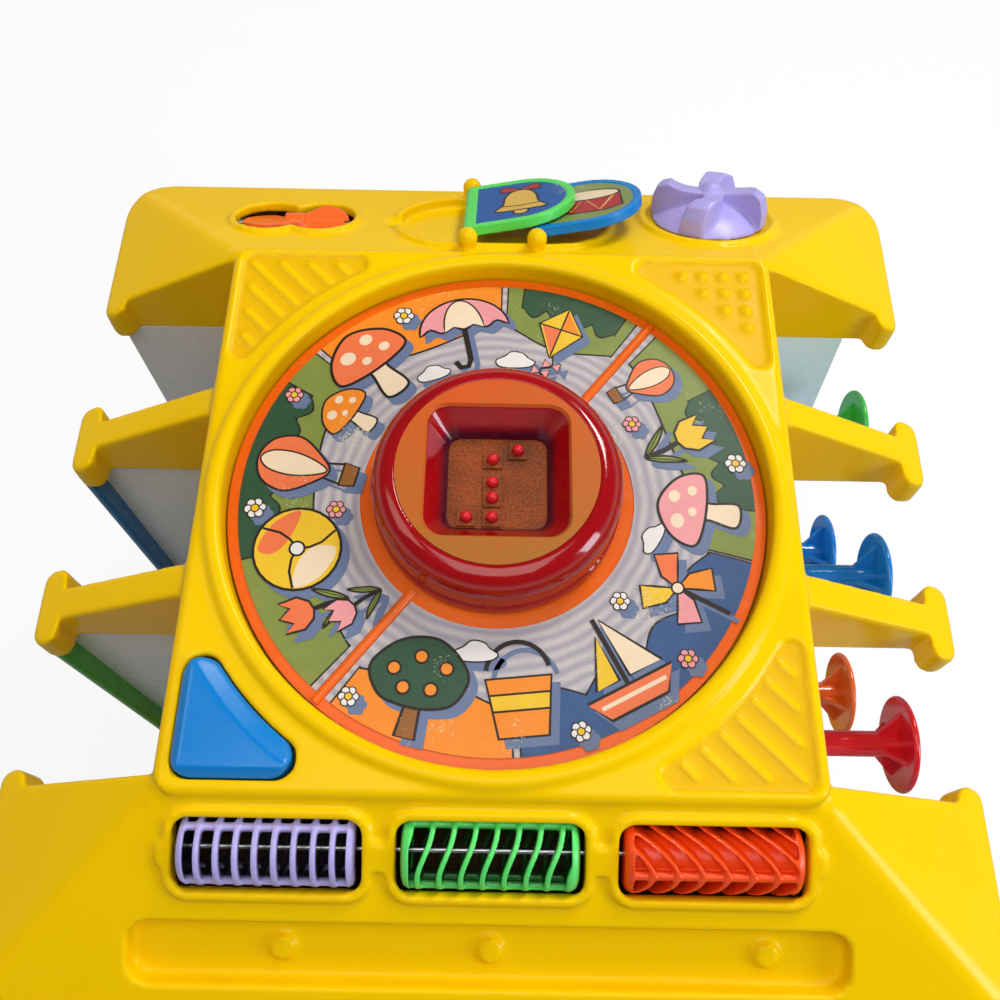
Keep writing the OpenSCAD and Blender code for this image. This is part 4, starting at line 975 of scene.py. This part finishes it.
for side, tint, finish, ink, shapes in (
    (-1, "green", green_abs, "royal", bell()), (1, "blue", blue_abs, "moss", drum()),
):
    name = f"{tint}_leaf"
    hinge = back_slope @ Matrix.Translation((side * PAGE_HALF_PITCH * MM, PAGE_V * MM, PAGE_LIFT * MM))
    leaf = hinge @ Matrix.Rotation(math.radians(-PAGE_REST), 4, "Y")
    soft_copy(f"{name}_frame", name, [f"{tint}_page", f"{tint}_page_picture"], [finish],
              voxel_mm=0.5, rounds=3, keep=0.3, form=page_form(leaf))
    for face_name, flip in (("front", 0), ("back", 180)):
        facing = leaf @ Matrix.Rotation(math.radians(flip), 4, "X")
        page = Sheet(facing @ Matrix.Translation((0, 0, (PAGE_BED + PRINT_LIFT) * MM)))
        page.lay(ink, page_outline(PAGE_BORDER + PRINT_GAP), 0)
        page.draw(shapes, PICTURE_X, 0, -90 if flip else 0, PICTURE_SIZE, PICTURE_LEVEL)
        page.done(f"{name}_print_{face_name}", name)


# Floor, light and camera

# Half width of the floor in metres, then shares of full brightness, and the height where the ceiling starts
FLOOR = 4.0
FLOOR_GLOW = 0.86
FLOOR_SHINE = 0.2
AMBIENT = 0.22
CEILING = 0.1
HORIZON = 0.35


def paper(name):
    """Matt white paper: white to the camera, greyer in the light that it throws back and in reflections."""
    made, tree, _ = blank(name)
    seen = add(tree, "ShaderNodeLightPath")
    tone = add(tree, "ShaderNodeMix", {
        0: seen.outputs["Is Camera Ray"], 6: linear("#9C9C9C"), 7: linear("#FFFFFF"),
    }, data_type="RGBA")
    matt = add(tree, "ShaderNodeBsdfDiffuse", {"Color": tone.outputs[2]})
    glow = add(tree, "ShaderNodeEmission", {"Color": (1, 1, 1, 1), "Strength": 1.0})
    shine = add(tree, "ShaderNodeMath", {
        0: seen.outputs["Is Glossy Ray"], 1: FLOOR_SHINE,
    }, operation="MULTIPLY")
    straight = add(tree, "ShaderNodeMath", {
        0: seen.outputs["Is Camera Ray"], 1: shine.outputs[0],
    }, operation="MAXIMUM")
    straight = add(tree, "ShaderNodeMath", {
        0: straight.outputs[0], 1: seen.outputs["Is Transmission Ray"],
    }, operation="MAXIMUM")
    share = add(tree, "ShaderNodeMath", {0: straight.outputs[0], 1: FLOOR_GLOW}, operation="MULTIPLY")
    sweep = add(tree, "ShaderNodeMixShader", {
        0: share.outputs[0], 1: matt.outputs[0], 2: glow.outputs[0],
    })
    add(tree, "ShaderNodeOutputMaterial", {"Surface": sweep.outputs[0]})
    return made


def studio(name):
    """Even light from all round: white air for the camera, a room with a dark ceiling in reflections."""
    made = bpy.data.worlds.new(name)
    made.use_nodes = True
    made.node_tree.nodes.clear()
    tree = made.node_tree
    seen = add(tree, "ShaderNodeLightPath")
    straight = add(tree, "ShaderNodeMath", {
        0: seen.outputs["Is Camera Ray"], 1: seen.outputs["Is Glossy Ray"],
    }, operation="MAXIMUM")
    straight = add(tree, "ShaderNodeMath", {
        0: straight.outputs[0], 1: seen.outputs["Is Transmission Ray"],
    }, operation="MAXIMUM")
    way = add(tree, "ShaderNodeTexCoord").outputs["Generated"]
    height = add(tree, "ShaderNodeSeparateXYZ", {"Vector": way}).outputs["Z"]
    room = add(tree, "ShaderNodeMapRange", {
        "Value": height, "From Max": HORIZON, "To Min": 1.0, "To Max": CEILING,
    })
    open_air = add(tree, "ShaderNodeMix", {
        0: seen.outputs["Is Camera Ray"], 2: room.outputs["Result"], 3: 1.0,
    })
    strength = add(tree, "ShaderNodeMix", {0: straight.outputs[0], 2: AMBIENT, 3: open_air.outputs[0]})
    air = add(tree, "ShaderNodeBackground", {"Color": (1, 1, 1, 1), "Strength": strength.outputs[0]})
    add(tree, "ShaderNodeOutputWorld", {"Surface": air.outputs[0]})
    return made


floor_mesh = bpy.data.meshes.new("floor")
corners = [(-FLOOR, -FLOOR, 0), (FLOOR, -FLOOR, 0), (FLOOR, FLOOR, 0), (-FLOOR, FLOOR, 0)]
floor_mesh.from_pydata(corners, [], [(0, 1, 2, 3)])
floor = link("floor", floor_mesh)
coat(floor, paper("white_paper_sweep"))
bpy.context.scene.world = studio("studio")


def lamp(name, place, target, size, watts, colour="#FFFFFF"):
    """A soft box that faces a target."""
    data = bpy.data.lights.new(name, "AREA")
    data.shape = "RECTANGLE"
    data.size, data.size_y = size
    data.energy = watts
    data.color = linear(colour)[:3]
    made = link(name, data)
    made.location = place
    made.rotation_euler = (Vector(target) - Vector(place)).to_track_quat("-Z", "Y").to_euler()


TOP = (0, 0, 0.34)
lamp("ceiling", (0.0, -0.25, 1.6), TOP, (0.9, 0.9), 7.0)
lamp("window_right", (1.05, -0.35, 0.75), TOP, (0.3, 0.6), 6.5, "#E4F0FF")
lamp("window_back", (0.65, 0.95, 1.5), TOP, (0.4, 0.4), 12.0, "#FFFDF6")
lamp("room_left", (-0.9, 0.1, 1.5), TOP, (0.6, 0.6), 3.0, "#FFF0DC")

CAMERA = Vector((0.0012, -0.18015, 0.7361))
AIM = Vector((0.0012, -0.00475, 0.36))
ROLL = math.radians(1.05)
view = bpy.data.cameras.new("camera")
view.sensor_width = 36.0
view.lens = 36.0
view.clip_start = 0.01
camera = link("camera", view)
look = (AIM - CAMERA).to_track_quat("-Z", "Y").to_matrix().to_4x4()
camera.matrix_world = Matrix.Translation(CAMERA) @ look @ Matrix.Rotation(ROLL, 4, "Z")
bpy.context.scene.camera = camera
bpy.context.scene.view_settings.view_transform = "Standard"
